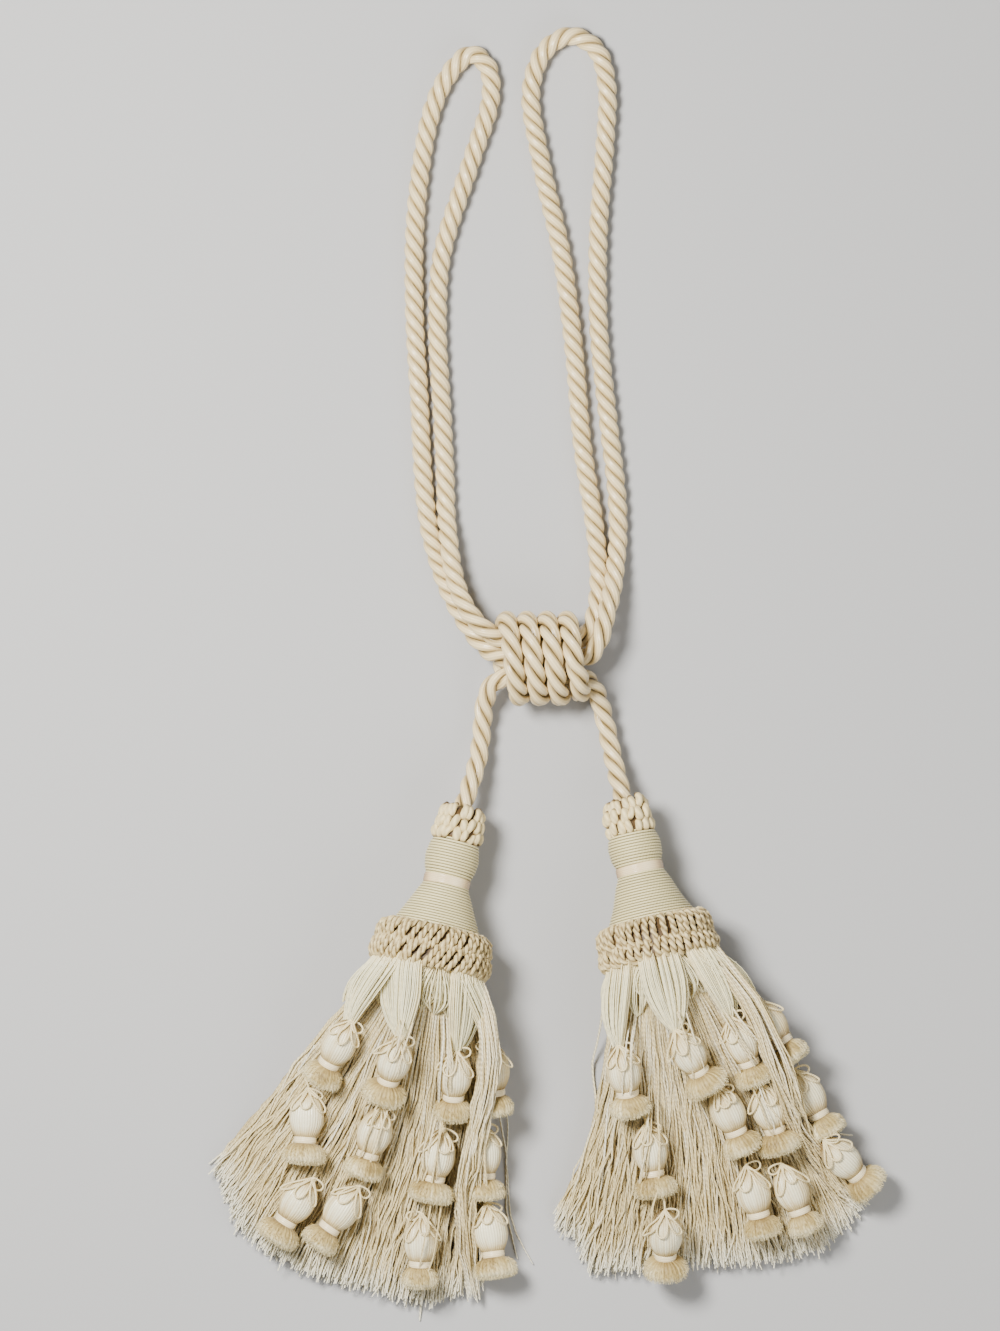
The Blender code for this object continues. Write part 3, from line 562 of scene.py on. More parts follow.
def grown(name, mesh, tree, sizes):
    """Plain mesh object that a geometry tree makes of a mesh."""
    obj = added(name, mesh)
    modifier = obj.modifiers.new(name, "NODES")
    modifier.node_group = tree
    for item in tree.interface.items_tree:
        if item.in_out == "INPUT" and item.name in sizes:
            modifier[item.identifier] = sizes[item.name]
    obj.update_tag()
    evaluated = obj.evaluated_get(bpy.context.evaluated_depsgraph_get())
    result = bpy.data.meshes.new_from_object(evaluated)
    obj.modifiers.clear()
    obj.data = result
    bpy.data.meshes.remove(mesh)
    result.name = name
    for spare in ("middle", "ring", "along", "turn", "number", "loose", "thick"):
        if spare in result.attributes:
            result.attributes.remove(result.attributes[spare])
    return obj


# Lines and skins

def store_values(mesh, name, values, kind="FLOAT"):
    """A value at each point of a mesh."""
    field = "vector" if kind == "FLOAT_VECTOR" else "value"
    mesh.attributes.new(name, kind, "POINT").data.foreach_set(field, values.ravel())


def round_angles(count):
    """Angles evenly round a circle."""
    return np.arange(count) * math.tau / count


def step_lengths(line):
    """Distances from each point of a line to the next."""
    return np.linalg.norm(np.diff(line, axis=0), axis=1)


def running_sum(values):
    """Sum of the values before each one, and of them all."""
    return np.concatenate([[0.0], np.cumsum(values)])


def line_mesh(name, lines, **values):
    """Loose edges along each line of points, with a value stored at each point."""
    sizes = [len(line) for line in lines]
    points = np.concatenate(lines) * MM
    edges = []
    start = 0
    for size in sizes:
        edges.append(np.stack([np.arange(size - 1), np.arange(1, size)], axis=1) + start)
        start += size
    edges = np.concatenate(edges)
    mesh = bpy.data.meshes.new(name)
    mesh.vertices.add(len(points))
    mesh.vertices.foreach_set("co", points.ravel())
    mesh.edges.add(len(edges))
    mesh.edges.foreach_set("vertices", edges.ravel())
    for key, value in values.items():
        store_values(mesh, key, np.concatenate(value))
    mesh.update()
    return mesh


def skin_object(name, rings, along, finish, tone=None):
    """Closed skin through rings of points in millimetres, with a pole in the middle of each end."""
    rings = np.asarray(rings, float)
    count, sides = rings.shape[:2]
    poles = rings[[0, -1]].mean(axis=1)
    points = np.concatenate([rings.reshape(-1, 3), poles]) * MM
    faces = []
    for j in range(count - 1):
        for k in range(sides):
            n = (k + 1) % sides
            a = j * sides
            faces.append((a + k, a + n, a + sides + n, a + sides + k))
    last = (count - 1) * sides
    for k in range(sides):
        n = (k + 1) % sides
        faces.append((count * sides, n, k))
        faces.append((count * sides + 1, last + k, last + n))
    mesh = bpy.data.meshes.new(name)
    mesh.from_pydata(points.tolist(), [], faces)
    angle = np.tile(round_angles(sides), count)
    way = np.repeat(along, sides) * MM
    grain = np.stack([np.cos(angle), np.sin(angle), way], axis=1)
    ends = np.array([[1.0, 0.0, along[0] * MM], [1.0, 0.0, along[-1] * MM]])
    grain = np.concatenate([grain, ends])
    store_values(mesh, "grain", grain, "FLOAT_VECTOR")
    tones = np.ones(count) if tone is None else np.asarray(tone, float)
    if tones.ndim == 1:
        tones = np.repeat(tones[:, None], sides, axis=1)
    tones = np.concatenate([tones.ravel(), tones[[0, -1], 0]])
    store_values(mesh, "tone", tones)
    mesh.materials.append(finish)
    face_outwards(mesh)
    mesh.shade_smooth()
    return added(name, mesh)


def face_outwards(mesh):
    """Turns every face of a closed mesh to the outside."""
    shell = bmesh.new()
    shell.from_mesh(mesh)
    bmesh.ops.recalc_face_normals(shell, faces=shell.faces)
    shell.to_mesh(mesh)
    shell.free()


def joined(name, pieces):
    """One object of several, with their finishes kept."""
    first = pieces[0]
    with bpy.context.temp_override(active_object=first, selected_editable_objects=pieces):
        bpy.ops.object.join()
    first.name = name
    first.data.name = name
    return first


# The rope's route

def smooth_line(points, step=1.0):
    """Points about a step apart on the smooth curve through the given ones."""
    knots = [Vector(p) for p in points]
    knots = [2 * knots[0] - knots[1]] + knots + [2 * knots[-1] - knots[-2]]
    line = []
    for i in range(1, len(knots) - 2):
        a, b, c, d = knots[i - 1:i + 3]
        t0 = 0.0
        t1 = t0 + math.sqrt((b - a).length)
        t2 = t1 + math.sqrt((c - b).length)
        t3 = t2 + math.sqrt((d - c).length)
        count = max(2, round((c - b).length / step))
        for k in range(count):
            t = t1 + (t2 - t1) * k / count
            ab = a.lerp(b, (t - t0) / (t1 - t0))
            bc = b.lerp(c, (t - t1) / (t2 - t1))
            cd = c.lerp(d, (t - t2) / (t3 - t2))
            abc = ab.lerp(bc, (t - t0) / (t2 - t0))
            bcd = bc.lerp(cd, (t - t1) / (t3 - t1))
            line.append(abc.lerp(bcd, (t - t1) / (t2 - t1)))
    line.append(knots[-2])
    return np.array([tuple(p) for p in line])


def core_pass(side_sign):
    """One rope of the pair that changes places in half a turn inside the winding."""
    angle = math.pi * np.arange(CORE_STEPS + 1) / CORE_STEPS
    x = CORE_LEFT_X + (CORE_RIGHT_X - CORE_LEFT_X) * angle / math.pi
    y = PAIR_CENTRE_Y + side_sign * PAIR_RADIUS * np.cos(angle)
    z = WIND_CENTRE_Z - side_sign * PAIR_RADIUS * np.sin(angle)
    return list(zip(x, y, z))


def rope_route():
    """Left tail, winding, right loop, winding, left loop, winding, right tail."""
    top_pass = [
        (CORE_RIGHT_X, CORE_TOP_Y, WIND_CENTRE_Z - 1.0),
        (-3.0, CORE_TOP_Y, WIND_CENTRE_Z),
        (CORE_LEFT_X, CORE_TOP_Y, WIND_CENTRE_Z),
    ]
    return [*LEFT_TAIL, *core_pass(-1), *RIGHT_LOOP, *top_pass, *LEFT_LOOP, *core_pass(1), *RIGHT_TAIL]


def winding_route():
    """Turns round the long rope, four of them on top, that move sideways more on top than below."""
    count = round((WIND_END_DEG - WIND_START_DEG) * WIND_POINTS_PER_TURN / 360)
    angle = np.radians(np.linspace(WIND_START_DEG, WIND_END_DEG, count + 1))
    x = WIND_FIRST_X + WIND_PITCH * angle / math.tau - WIND_SWAY * np.cos(angle)
    y = WIND_CENTRE_Y + WIND_HALF_HEIGHT * np.cos(angle)
    z = WIND_CENTRE_Z + WIND_HALF_DEPTH * np.sin(angle)
    return [*zip(x, y, z), *WIND_TUCK, *WIND_END]


def lay_turns(line):
    """How far a left-handed lay has turned at each point. Its pitch is longer in the tails."""
    blend = np.clip((line[1:, 1] - LOOPS_START_Y) / LOOPS_BLEND, 0.0, 1.0)
    pitch = PITCH_TAILS + (PITCH_LOOPS - PITCH_TAILS) * blend
    return -math.tau * running_sum(step_lengths(line) / pitch)


def laid_rope(name, route, diameter, plies_tree, finish):
    """Three silk plies laid along a route, and the line in their middle."""
    line = smooth_line(route, ROPE_STEP)
    line[:, 2] = np.maximum(line[:, 2], ROPE_REST * diameter)
    sizes = {
        "Plies": 3, "Ply Radius": PLY_RADIUS * diameter * MM, "Lay Radius": LAY_RADIUS * diameter * MM,
        "Sides": ROPE_PLY_SIDES, "Finish": finish,
    }
    mesh = line_mesh(name, [line], turn=[lay_turns(line)])
    return grown(name, mesh, plies_tree, sizes), line


# Tassels

class Tassel:
    """Place of one tassel, with the map from its own axes to the floor's, in millimetres."""

    def __init__(self, side):
        sizes = TASSELS[side]
        self.side = side
        self.sizes = sizes
        self.base = np.array(sizes["base"])
        along = np.array(sizes["top"]) - self.base
        self.along = along / np.linalg.norm(along)
        across = np.array([self.along[1], -self.along[0], 0.0])
        self.across = across / np.linalg.norm(across)
        self.up = np.cross(self.across, self.along)
        self.apex = np.array([*sizes["apex"], 0.0])
        self.random = np.random.default_rng(sizes["seed"])

    def place(self, radius, angle, station):
        """Points at a radius and angle round the axis, 0 to the right and a quarter turn up."""
        radius, angle, station = np.broadcast_arrays(radius, angle, station)
        out = np.cos(angle)[..., None] * self.across + np.sin(angle)[..., None] * self.up
        return self.base + station[..., None] * self.along + radius[..., None] * out

    def fan_point(self, u, v, t, extra=0.0):
        """Points in the fan: u across from -1 to 1, v up from -1 to 1, t from its root to its hem."""
        sizes = self.sizes
        share = (u + 1) / 2
        past = (t - sizes["middle"]) / (1 - sizes["middle"])
        edges = [
            np.radians(middle) + (np.radians(hem) - np.radians(middle)) * past
            for middle, hem in zip(sizes["middle_deg"], sizes["hem_deg"])
        ]
        angle = edges[0] + (edges[1] - edges[0]) * share
        hem = np.interp(share, *zip(*sizes["hem"]))
        reach = sizes["root_reach"] + (hem - sizes["root_reach"]) * t + extra
        height = MIDDLE_HEIGHT + (HEM_HEIGHT - MIDDLE_HEIGHT) * past
        height = height * (1 - EDGE_THINNING * np.abs(u) ** 3) * (v + 1) / 2
        flat = np.stack([reach * np.sin(angle), -reach * np.cos(angle), height], axis=-1)
        return self.apex + flat

    def disc_point(self, u, v, station, radius):
        """Points on a disc across the axis: u to the right and v up, from -1 to 1."""
        x = u * np.sqrt(1 - v * v / 2)
        y = v * np.sqrt(1 - u * u / 2)
        out = x[..., None] * self.across + y[..., None] * self.up
        return self.base + station * self.along + out * radius

    def skin_point(self, angle, way, lift):
        """Points a way down the fringe's skin from the plug's rim, and a lift outside it."""
        c = np.cos(angle)
        s = np.sin(angle)
        half = math.sqrt(0.5)
        u = np.where(np.abs(s) >= np.abs(c), np.clip(c / half, -1, 1), np.sign(c))
        v = np.where(np.abs(c) >= np.abs(s), np.clip(s / half, -1, 1), np.sign(s))
        root = self.place(PLUG_RADIUS, angle, PLUG_FRONT)
        run = self.fan_point(u, v, self.sizes["middle"]) - root
        run /= np.linalg.norm(run, axis=-1, keepdims=True)
        out = c[..., None] * self.across + s[..., None] * self.up
        out = out - run * (out * run).sum(axis=-1, keepdims=True)
        out /= np.linalg.norm(out, axis=-1, keepdims=True)
        return root + run * way[..., None] + out * lift[..., None]


def head_outline(tassel):
    """Radius of the wound head at each station, rounded between the named sizes."""
    bulb_at, bulb = tassel.sizes["bulb"]
    waist_at, waist = tassel.sizes["waist"]
    rows = (
        (HEAD_FOOT, HEAD_BASE_RADIUS - 0.4), (0.0, HEAD_BASE_RADIUS), (1.8, HEAD_BASE_RADIUS - 1.0),
        (9.0, 17.6), (waist_at - 6.5, waist + 1.8), (waist_at - BAND_HALF_WIDTH, waist - 0.3),
        (waist_at + BAND_HALF_WIDTH, waist - 0.5), (waist_at + 6.0, waist + 1.0), (bulb_at, bulb),
        (HEAD_TOP - 2.2, bulb - 1.4), (HEAD_TOP, HEAD_TOP_RADIUS),
    )
    stations = np.arange(HEAD_FOOT, HEAD_TOP + 0.01, OUTLINE_STEP)
    radii = np.interp(stations, *zip(*rows))
    kernel = np.ones(OUTLINE_ROUNDING) / OUTLINE_ROUNDING
    padded = np.pad(radii, OUTLINE_ROUNDING // 2, mode="edge")
    return stations, np.convolve(padded, kernel, mode="valid")


def wound_head(tassel, plies_tree, finish):
    """Turned mould with one fine cord wound round it from the foot to the top. The mould is all in the deep
    colour, as painted shade between the cord's turns.
    """
    stations, radii = head_outline(tassel)
    angle = round_angles(HEAD_SIDES)
    rows = slice(0, None, 6)
    rings = [tassel.place(r - MOULD_INSET, angle, s) for s, r in zip(stations[rows], radii[rows])]
    name = f"{tassel.side}_head_wound"
    # Painted shade: the mould's tone is nothing, so it shows dark between the turns of the cord.
    mould = skin_object(f"{name}_mould", rings, stations[rows], finish, tone=np.zeros(len(rings)))
    height = HEAD_TOP - HEAD_FOOT - 2 * WOUND_MARGIN
    turns = height / WOUND_CORD
    way = np.linspace(0.0, 1.0, round(turns * WOUND_POINTS_PER_TURN))
    station = HEAD_FOOT + WOUND_MARGIN + height * way
    radius = np.interp(station, stations, radii) - WOUND_INSET
    line = tassel.place(radius, math.tau * turns * way, station)
    sizes = {
        "Plies": 1, "Ply Radius": WOUND_RADIUS * WOUND_CORD * MM, "Lay Radius": 0.0,
        "Sides": WOUND_SIDES, "Finish": finish,
    }
    mesh = line_mesh(name, [line], turn=[np.zeros(len(line))])
    cord = grown(f"{name}_cord", mesh, plies_tree, sizes)
    # Painted shade in the grooves between the cord's turns.
    shade_by_depth(tassel, cord.data, stations, radii)
    return joined(name, [mould, cord])


def shade_by_depth(tassel, mesh, stations, radii):
    """Paints shade on a skin wound on the head where it dips between its turns."""
    points = np.empty(len(mesh.vertices) * 3)
    mesh.vertices.foreach_get("co", points)
    points = points.reshape(-1, 3) / MM - tassel.base
    station = points @ tassel.along
    reach = np.linalg.norm(points - station[:, None] * tassel.along, axis=1)
    # Painted shade: the tone falls as the cord dips below its crest, towards the groove between turns.
    depth = np.interp(station, stations, radii) + WOUND_CREST - reach
    tone = np.clip(1.0 - depth / WOUND_SHADE_DEPTH, 0.0, 1.0)
    mesh.attributes["tone"].data.foreach_set("value", tone)


def satin_band(tassel, finish):
    """Satin thread round the waist, with a painted highlight where it faces up and painted shade on its
    sides.
    """
    waist_at, waist = tassel.sizes["waist"]
    station = np.linspace(-1, 1, 13)
    radius = waist + 0.25 - 0.5 * np.abs(station) ** 6 + 0.07 * np.cos(station * 14)
    station = np.concatenate([[-1.0], station, [1.0]]) * BAND_HALF_WIDTH + waist_at
    radius = np.pad(radius, 1, constant_values=waist - BAND_EDGE_INSET)
    angle = round_angles(BAND_SIDES)
    rings = [tassel.place(r, angle, s) for s, r in zip(station, radius)]
    # Painted light and shade: the tone is high where the band faces up and low on its sides, with a gentle
    # unevenness round it.
    tone = 0.1 + 0.9 * np.clip(np.sin(angle), 0, 1) ** 1.6 * (0.8 + 0.2 * np.cos(5 * angle + 1))
    tone = np.tile(tone, (len(rings), 1))
    return skin_object(f"{tassel.side}_waist_satin", rings, station, finish, tone)


def arc_cord(tassel, angle, rows, lean, bend, count):
    """Line of a cord over a collar, through rows of station and radius, leaning and bending on its way."""
    stations, radii = zip(*rows)
    way = np.linspace(0.0, 1.0, count)
    knots = np.linspace(0.0, 1.0, len(rows))
    station = np.interp(way, knots, stations)
    radius = np.interp(way, knots, radii)
    for values in (station, radius):
        values[1:-1] = (values[:-2] + 2 * values[1:-1] + values[2:]) / 4
    return tassel.place(radius, angle + lean * way + bend * np.sin(math.pi * way), station)


def shade_core(tassel, name, rows, sides, finish):
    """Skin under the cords of a ruff, all in the deep colour as painted shade between the cords, through
    rows of station and radius.
    """
    stations = np.array([s for s, _ in rows])
    rings = np.array([tassel.place(r, round_angles(sides), s) for s, r in rows])
    rings[..., 2] = np.maximum(rings[..., 2], CORE_LOWEST)
    # Painted shade: a tone of nothing paints the whole core dark.
    return skin_object(name, rings, stations, finish, tone=np.zeros(len(rows)))


def base_ruff(tassel, plies_tree, finish):
    """Two tiers of short twisted cords, bent over the collar side by side."""
    meet = tassel.sizes["tiers_meet"]
    lean = tassel.sizes["rib_lean"]
    bend = tassel.sizes["rib_bend"]
    tiers = (
        (
            (-0.4, 22.6), (-0.4, 25.2), (-2.8, 27.9), (meet / 2 - 1, 28.7), (meet + 0.8, 28.2),
            (meet - 0.6, 26.0),
        ),
        (
            (meet + 1.6, 26.0), (meet + 1.0, 28.2), (meet - 1.8, 29.4), (meet / 2 - 10.6, 29.9),
            (-19.2, 29.1), (-20.6, 26.9),
        ),
    )
    lines = []
    turns = []
    for tier, rows in enumerate(tiers):
        for k in range(RIBS):
            start = (k + 0.5 * tier) * math.tau / RIBS + tassel.random.normal(0, 0.018)
            wobble = 0.3 * tassel.random.normal(size=len(rows))
            shifted = [(s + 0.6 * w, r + w) for (s, r), w in zip(rows, wobble)]
            line = arc_cord(tassel, start, shifted, lean, bend, RIB_POINTS)
            line[:, 2] = np.maximum(line[:, 2], RIB_LOWEST)
            lines.append(line)
            first_turn = tassel.random.uniform(0, 6)
            turns.append(-math.tau * running_sum(step_lengths(line)) / RIB_LAY + first_turn)
    name = f"{tassel.side}_base_ruff_cords"
    sizes = {
        "Plies": 2, "Ply Radius": RIB_PLY_RADIUS * MM, "Lay Radius": RIB_LAY_RADIUS * MM,
        "Sides": RIB_SIDES, "Finish": finish,
    }
    cords = grown(name, line_mesh(name, lines, turn=turns), plies_tree, sizes)
    rows = (
        (-0.8, 22.6), (-2.6, 25.8), (-9.8, 26.8), (-18.0, 27.6), (-19.9, 26.8), (-20.1, 25.6),
        (-10.0, 24.6), (-1.0, 22.2),
    )
    return joined(name, [cords, shade_core(tassel, f"{name}_core", rows, BASE_CORE_SIDES, finish)])


def top_ruff(tassel, yarn_tree, finish):
    """Tiers of plump knots round the top of the head, each painted darker towards its ends as shade, on a
    core painted dark as shade.
    """
    lean = LUMP_LEAN * tassel.sizes["rib_lean"]
    tiers = (
        ((44.8, 9.8), (45.8, 10.9), (48.0, 11.3), (50.2, 10.8), (51.4, 9.5)),
        ((49.6, 9.5), (50.8, 10.8), (53.2, 11.2), (55.6, 10.6), (56.8, 9.3)),
        ((55.0, 9.0), (56.2, 10.0), (58.6, 10.1), (60.8, 8.9), (62.0, 7.2)),
    )
    swell = 0.62 + 0.42 * np.sin(math.pi * np.linspace(0.0, 1.0, LUMP_POINTS)) ** 0.8
    # Painted shade: each knot's tone falls towards both its ends, where it tucks in among the other knots
    # and the core.
    tone = np.clip(1.25 * np.sin(math.pi * np.linspace(0.04, 0.96, LUMP_POINTS)), 0, 1)
    lines = []
    values = {"loose": [], "thick": [], "tone": [], "number": []}
    for tier, rows in enumerate(tiers):
        for k in range(LUMPS):
            start = (k + 0.5 * tier) * math.tau / LUMPS + tassel.random.normal(0, 0.05)
            wobble = 0.5 * tassel.random.normal() + 0.4 * tassel.random.normal(size=len(rows))
            shifted = [(s + w, r + 0.7 * w) for (s, r), w in zip(rows, wobble)]
            lean_here = lean * tassel.random.uniform(0.1, 1.0) + tassel.random.normal(0, 0.16)
            lines.append(arc_cord(tassel, start - lean_here / 2, shifted, lean_here, 0.0, LUMP_POINTS))
            values["loose"].append(np.zeros(LUMP_POINTS))
            values["thick"].append(swell * tassel.random.uniform(0.82, 1.14))
            values["tone"].append(tone)
            values["number"].append(np.full(LUMP_POINTS, float(len(lines))))
    name = f"{tassel.side}_top_ruff_cords"
    sizes = {
        "Yarn Radius": LUMP_RADIUS * MM, "Wave Height": 0.0, "Wave Length": 20 * MM,
        "Seed": 1, "Sides": LUMP_SIDES, "Finish": finish,
    }
    cords = grown(name, line_mesh(name, lines, **values), yarn_tree, sizes)
    rows = ((44.4, 8.9), (46.0, 9.9), (50.0, 10.1), (55.0, 9.6), (59.0, 8.9), (61.4, 6.9))
    return joined(name, [cords, shade_core(tassel, f"{name}_core", rows, TOP_CORE_SIDES, finish)])


def rounded(lines, times):
    """Lines with their corners softened."""
    for _ in range(times):
        lines[:, 1:-1] = (lines[:, :-2] + 2 * lines[:, 1:-1] + lines[:, 2:]) / 4
    return lines


def resampled(points, count):
    """The smooth line through points, as a set number of points evenly along it."""
    line = smooth_line(points, 2.0)
    way = running_sum(step_lengths(line))
    places = np.linspace(0, way[-1], count)
    return np.stack([np.interp(places, way, line[:, k]) for k in range(3)], axis=1)


def fan_lines(tassel, u, v, u_hem, ragged, clump):
    """A line for each yarn: the plug, its mouth, the fan's middle, then out to the hem in loose locks."""
    middle = tassel.sizes["middle"]
    mouth = tassel.disc_point(u, v, PLUG_FRONT, YARNS_FRONT_RADIUS)
    knee = tassel.fan_point(u, v, middle)
    lines = [tassel.disc_point(u, v, PLUG_BACK, YARNS_BACK_RADIUS)]
    for t in np.linspace(0.0, 1.0, YARN_POINTS - 1):
        if t < middle:
            lines.append(mouth + (knee - mouth) * t / middle)
            continue
        past = (t - middle) / (1 - middle)
        lock = np.round((u + 1) * YARN_LOCKS / 2 - 0.5) + 0.5
        to_lock = (lock * 2 / YARN_LOCKS - 1 - u) * clump * math.sin(math.pi * min(past * 1.15, 1.0))
        lines.append(tassel.fan_point(u + (u_hem - u) * past + to_lock, v, t, ragged * past))
    return rounded(np.stack(lines, axis=1), YARN_ROUNDING)


def lock_lines(tassel):
    """Yarns of one loose lock that falls over the outer hangers."""
    random = tassel.random
    count, half, points = tassel.sizes["lock"]
    line = resampled(points, YARN_POINTS)
    way = np.linspace(0, 1, YARN_POINTS)
    aside = np.linspace(1.0, 0.8, YARN_POINTS) * half * random.uniform(-1, 1, (count, 1))
    aside = aside + random.normal(0, 0.8, (count, 1)) * way
    aside = aside * (0.55 + 0.45 * np.sin(math.pi * np.linspace(0.06, 0.9, YARN_POINTS)))
    turns = random.uniform(0.7, 1.9, (count, 1)) * math.tau * way
    meander = random.normal(0, 1.3, (count, 1)) * np.sin(turns + random.uniform(0, math.tau, (count, 1)))
    aside = aside + meander * np.linspace(0.1, 1.0, YARN_POINTS)
    lift = -4.5 * np.abs(aside / half) ** 2 + random.uniform(-1.5, 1.5, (count, 1))
    run = random.normal(0, 2.0, (count, 1)) * way ** 3
    return line + np.stack([aside, run, lift * (line[:, 2] / line[0, 2])], axis=-1)


def veil_lines(tassel):
    """Yarns on top of the fringe that fall over some of the hangers."""
    random = tassel.random
    sizes = tassel.sizes
    found = [lock_lines(tassel)]
    for label, (count, spread) in sizes["veils"].items():
        turn = hanger_place(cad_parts[f"{tassel.side}_hanger_{label}"])
        top = turn[:3, 3] / MM
        axis = turn[:3, 2]
        body = top + axis * VEIL_AIM - tassel.apex
        edges = np.radians(sizes["middle_deg"])
        share = (math.atan2(body[0], -body[1]) - edges[0]) / (edges[1] - edges[0])
        u = np.clip(2 * share - 1 + random.normal(0, spread, count), -0.98, 0.98)
        u_hem = np.clip(u + random.normal(0, VEIL_DRIFT, count), -1, 1)
        ragged = random.normal(0, VEIL_RAGGED, count)
        lines = fan_lines(tassel, u, np.ones(count), u_hem, ragged, VEIL_CLUMP)
        from_top = lines - top
        way = from_top @ axis
        aside = from_top[..., 0] * axis[1] - from_top[..., 1] * axis[0]
        body_top = top[2] + axis[2] * way + np.sqrt(np.clip(VEIL_BODY_RADIUS ** 2 - aside ** 2, 0, None))
        over = (way > -VEIL_START) & (way < VEIL_END) & (np.abs(aside) < VEIL_HALF_WIDTH)
        ease = np.clip((way + VEIL_START) / VEIL_RISE, 0, 1) ** 2
        ease *= np.clip((VEIL_END - way) / VEIL_FALL, 0, 1)
        lifted = lines[..., 2] + (body_top + VEIL_CLEARANCE - lines[..., 2]) * ease
        lines[..., 2] = np.where(over, np.maximum(lines[..., 2], lifted), lines[..., 2])
        found.append(lines)
    return np.concatenate(found)


def fringe(tassel, yarn_tree, finish):
    """Thin yarns from the head's plug, through a thick middle, to a ragged hem."""
    random = tassel.random
    u = random.uniform(-1, 1, YARNS)
    depth = random.uniform(0, 1, YARNS) ** 1.7
    u_hem = np.clip(u + random.normal(0, YARN_DRIFT, YARNS), -1, 1)
    point = (np.floor((u_hem + 1) * HEM_POINTS / 2) + 0.5) * 2 / HEM_POINTS - 1
    off_point = np.abs(u_hem - point) * HEM_POINTS
    u_hem = u_hem + HEM_POINT_PULL * (point - u_hem)
    ragged = random.normal(0, HEM_RAGGED, YARNS) + HEM_POINT_LENGTH * (0.5 - off_point)
    lines = fan_lines(tassel, u, 1 - 2 * depth, u_hem, ragged, LOCK_CLUMP)
    veils = veil_lines(tassel)
    strays = np.array([resampled(points, YARN_POINTS) for points in tassel.sizes["strays"]])
    # Painted shade: yarns deeper in the fan get a lower tone. The yarns laid over the hangers get the top
    # layer's tone, and the strays a higher one, painted light against the shadow that falls on them on the
    # floor.
    tones = [0.8 - 0.5 * depth ** 0.7, np.full(len(veils), 0.8), np.full(len(strays), 1.2)]
    lines = np.concatenate([lines, veils, strays])
    count = len(lines)
    way = np.linspace(0.0, 1.0, YARN_POINTS)
    loose = np.tile(np.clip(way * 1.4, 0.0, 1.0), (count, 1))
    loose[-len(strays):] *= 0.4
    thick = random.uniform(0.8, 1.2, (count, 1)) * (1 - 0.35 * way ** 12)
    tone = np.clip(np.concatenate(tones) + random.normal(0, 0.15, count), 0, 1.2)[:, None]
    # Painted shade: the yarns darken from their middle towards the hem; past that the frayed tips turn to
    # their own pale colour.
    tone = tone - 0.14 * np.clip((way - 0.45) / 0.3, 0, 1)
    tone = tone + (TIPS_TONE - tone) * np.clip((way - TIPS_START) / TIPS_BLEND, 0, 1)
    number = np.arange(count)[:, None] * np.ones(YARN_POINTS)
    name = f"{tassel.side}_fringe_yarns"
    mesh = line_mesh(name, lines, loose=loose, thick=thick, tone=tone, number=number)
    sizes = {
        "Yarn Radius": YARN_RADIUS * MM, "Wave Height": YARN_WAVE_HEIGHT * MM,
        "Wave Length": YARN_WAVE_LENGTH * MM,
        "Seed": tassel.sizes["seed"], "Sides": YARN_SIDES, "Finish": finish,
    }
    return grown(name, mesh, yarn_tree, sizes)


def skein_lines(tassel, tip):
    """Threads of a broad skein, in a few plump strands, from the ruff to the tip of a hanger."""
    random = tassel.random
    away = tip - tassel.base
    centre = math.atan2(away @ tassel.up, away @ tassel.across)
    centre = np.clip(centre, SKEIN_LOWEST, math.pi - SKEIN_LOWEST)
    sideways = math.cos(centre) * tassel.up - math.sin(centre) * tassel.across
    out = math.cos(centre) * tassel.across + math.sin(centre) * tassel.up
    way = np.linspace(0.0, 1.0, FLOSS_POINTS)
    middle = tassel.place(SKEIN_RIM_RADIUS, centre, SKEIN_RIM)
    found = []
    for strand in range(SKEIN_STRANDS):
        side = (2 * strand + 1) / SKEIN_STRANDS - 1 + random.normal(0, 0.07)
        wide = side * SKEIN_HALF
        angle = centre + wide / SKEIN_TURN_RADIUS
        root = tassel.place(SKEIN_ROOT_RADIUS, angle, SKEIN_ROOT)
        rim = tassel.place(SKEIN_RIM_RADIUS, angle, SKEIN_RIM)
        end = tip + side * 1.2 * sideways + random.normal(0, 0.4, 3)
        near = middle + SKEIN_NEAR * (tip - middle) + wide * sideways
        near += (1.8 - side * side) * out
        far = middle + SKEIN_FAR * (tip - middle) + SKEIN_FAR_WIDTH * wide * sideways
        far += (2.2 - 1.5 * side * side) * out
        line = resampled([root, rim, near, far, end], FLOSS_POINTS)
        plump = random.uniform(2.3, 2.9) * (0.3 + 0.7 * np.sin(math.pi * np.clip(0.12 + 0.8 * way, 0, 1)))
        for _ in range(SKEIN_THREADS):
            turn = random.uniform(0, math.tau)
            reach = math.sqrt(random.uniform(0, 1))
            offset = math.cos(turn) * sideways + math.sin(turn) * out
            # Painted light and shade: threads on the outer face of a strand get a higher tone, those on its
            # inner face a lower one.
            found.append((line + offset * (plump * reach)[:, None], 0.45 + 0.55 * reach * math.sin(turn)))
    return found


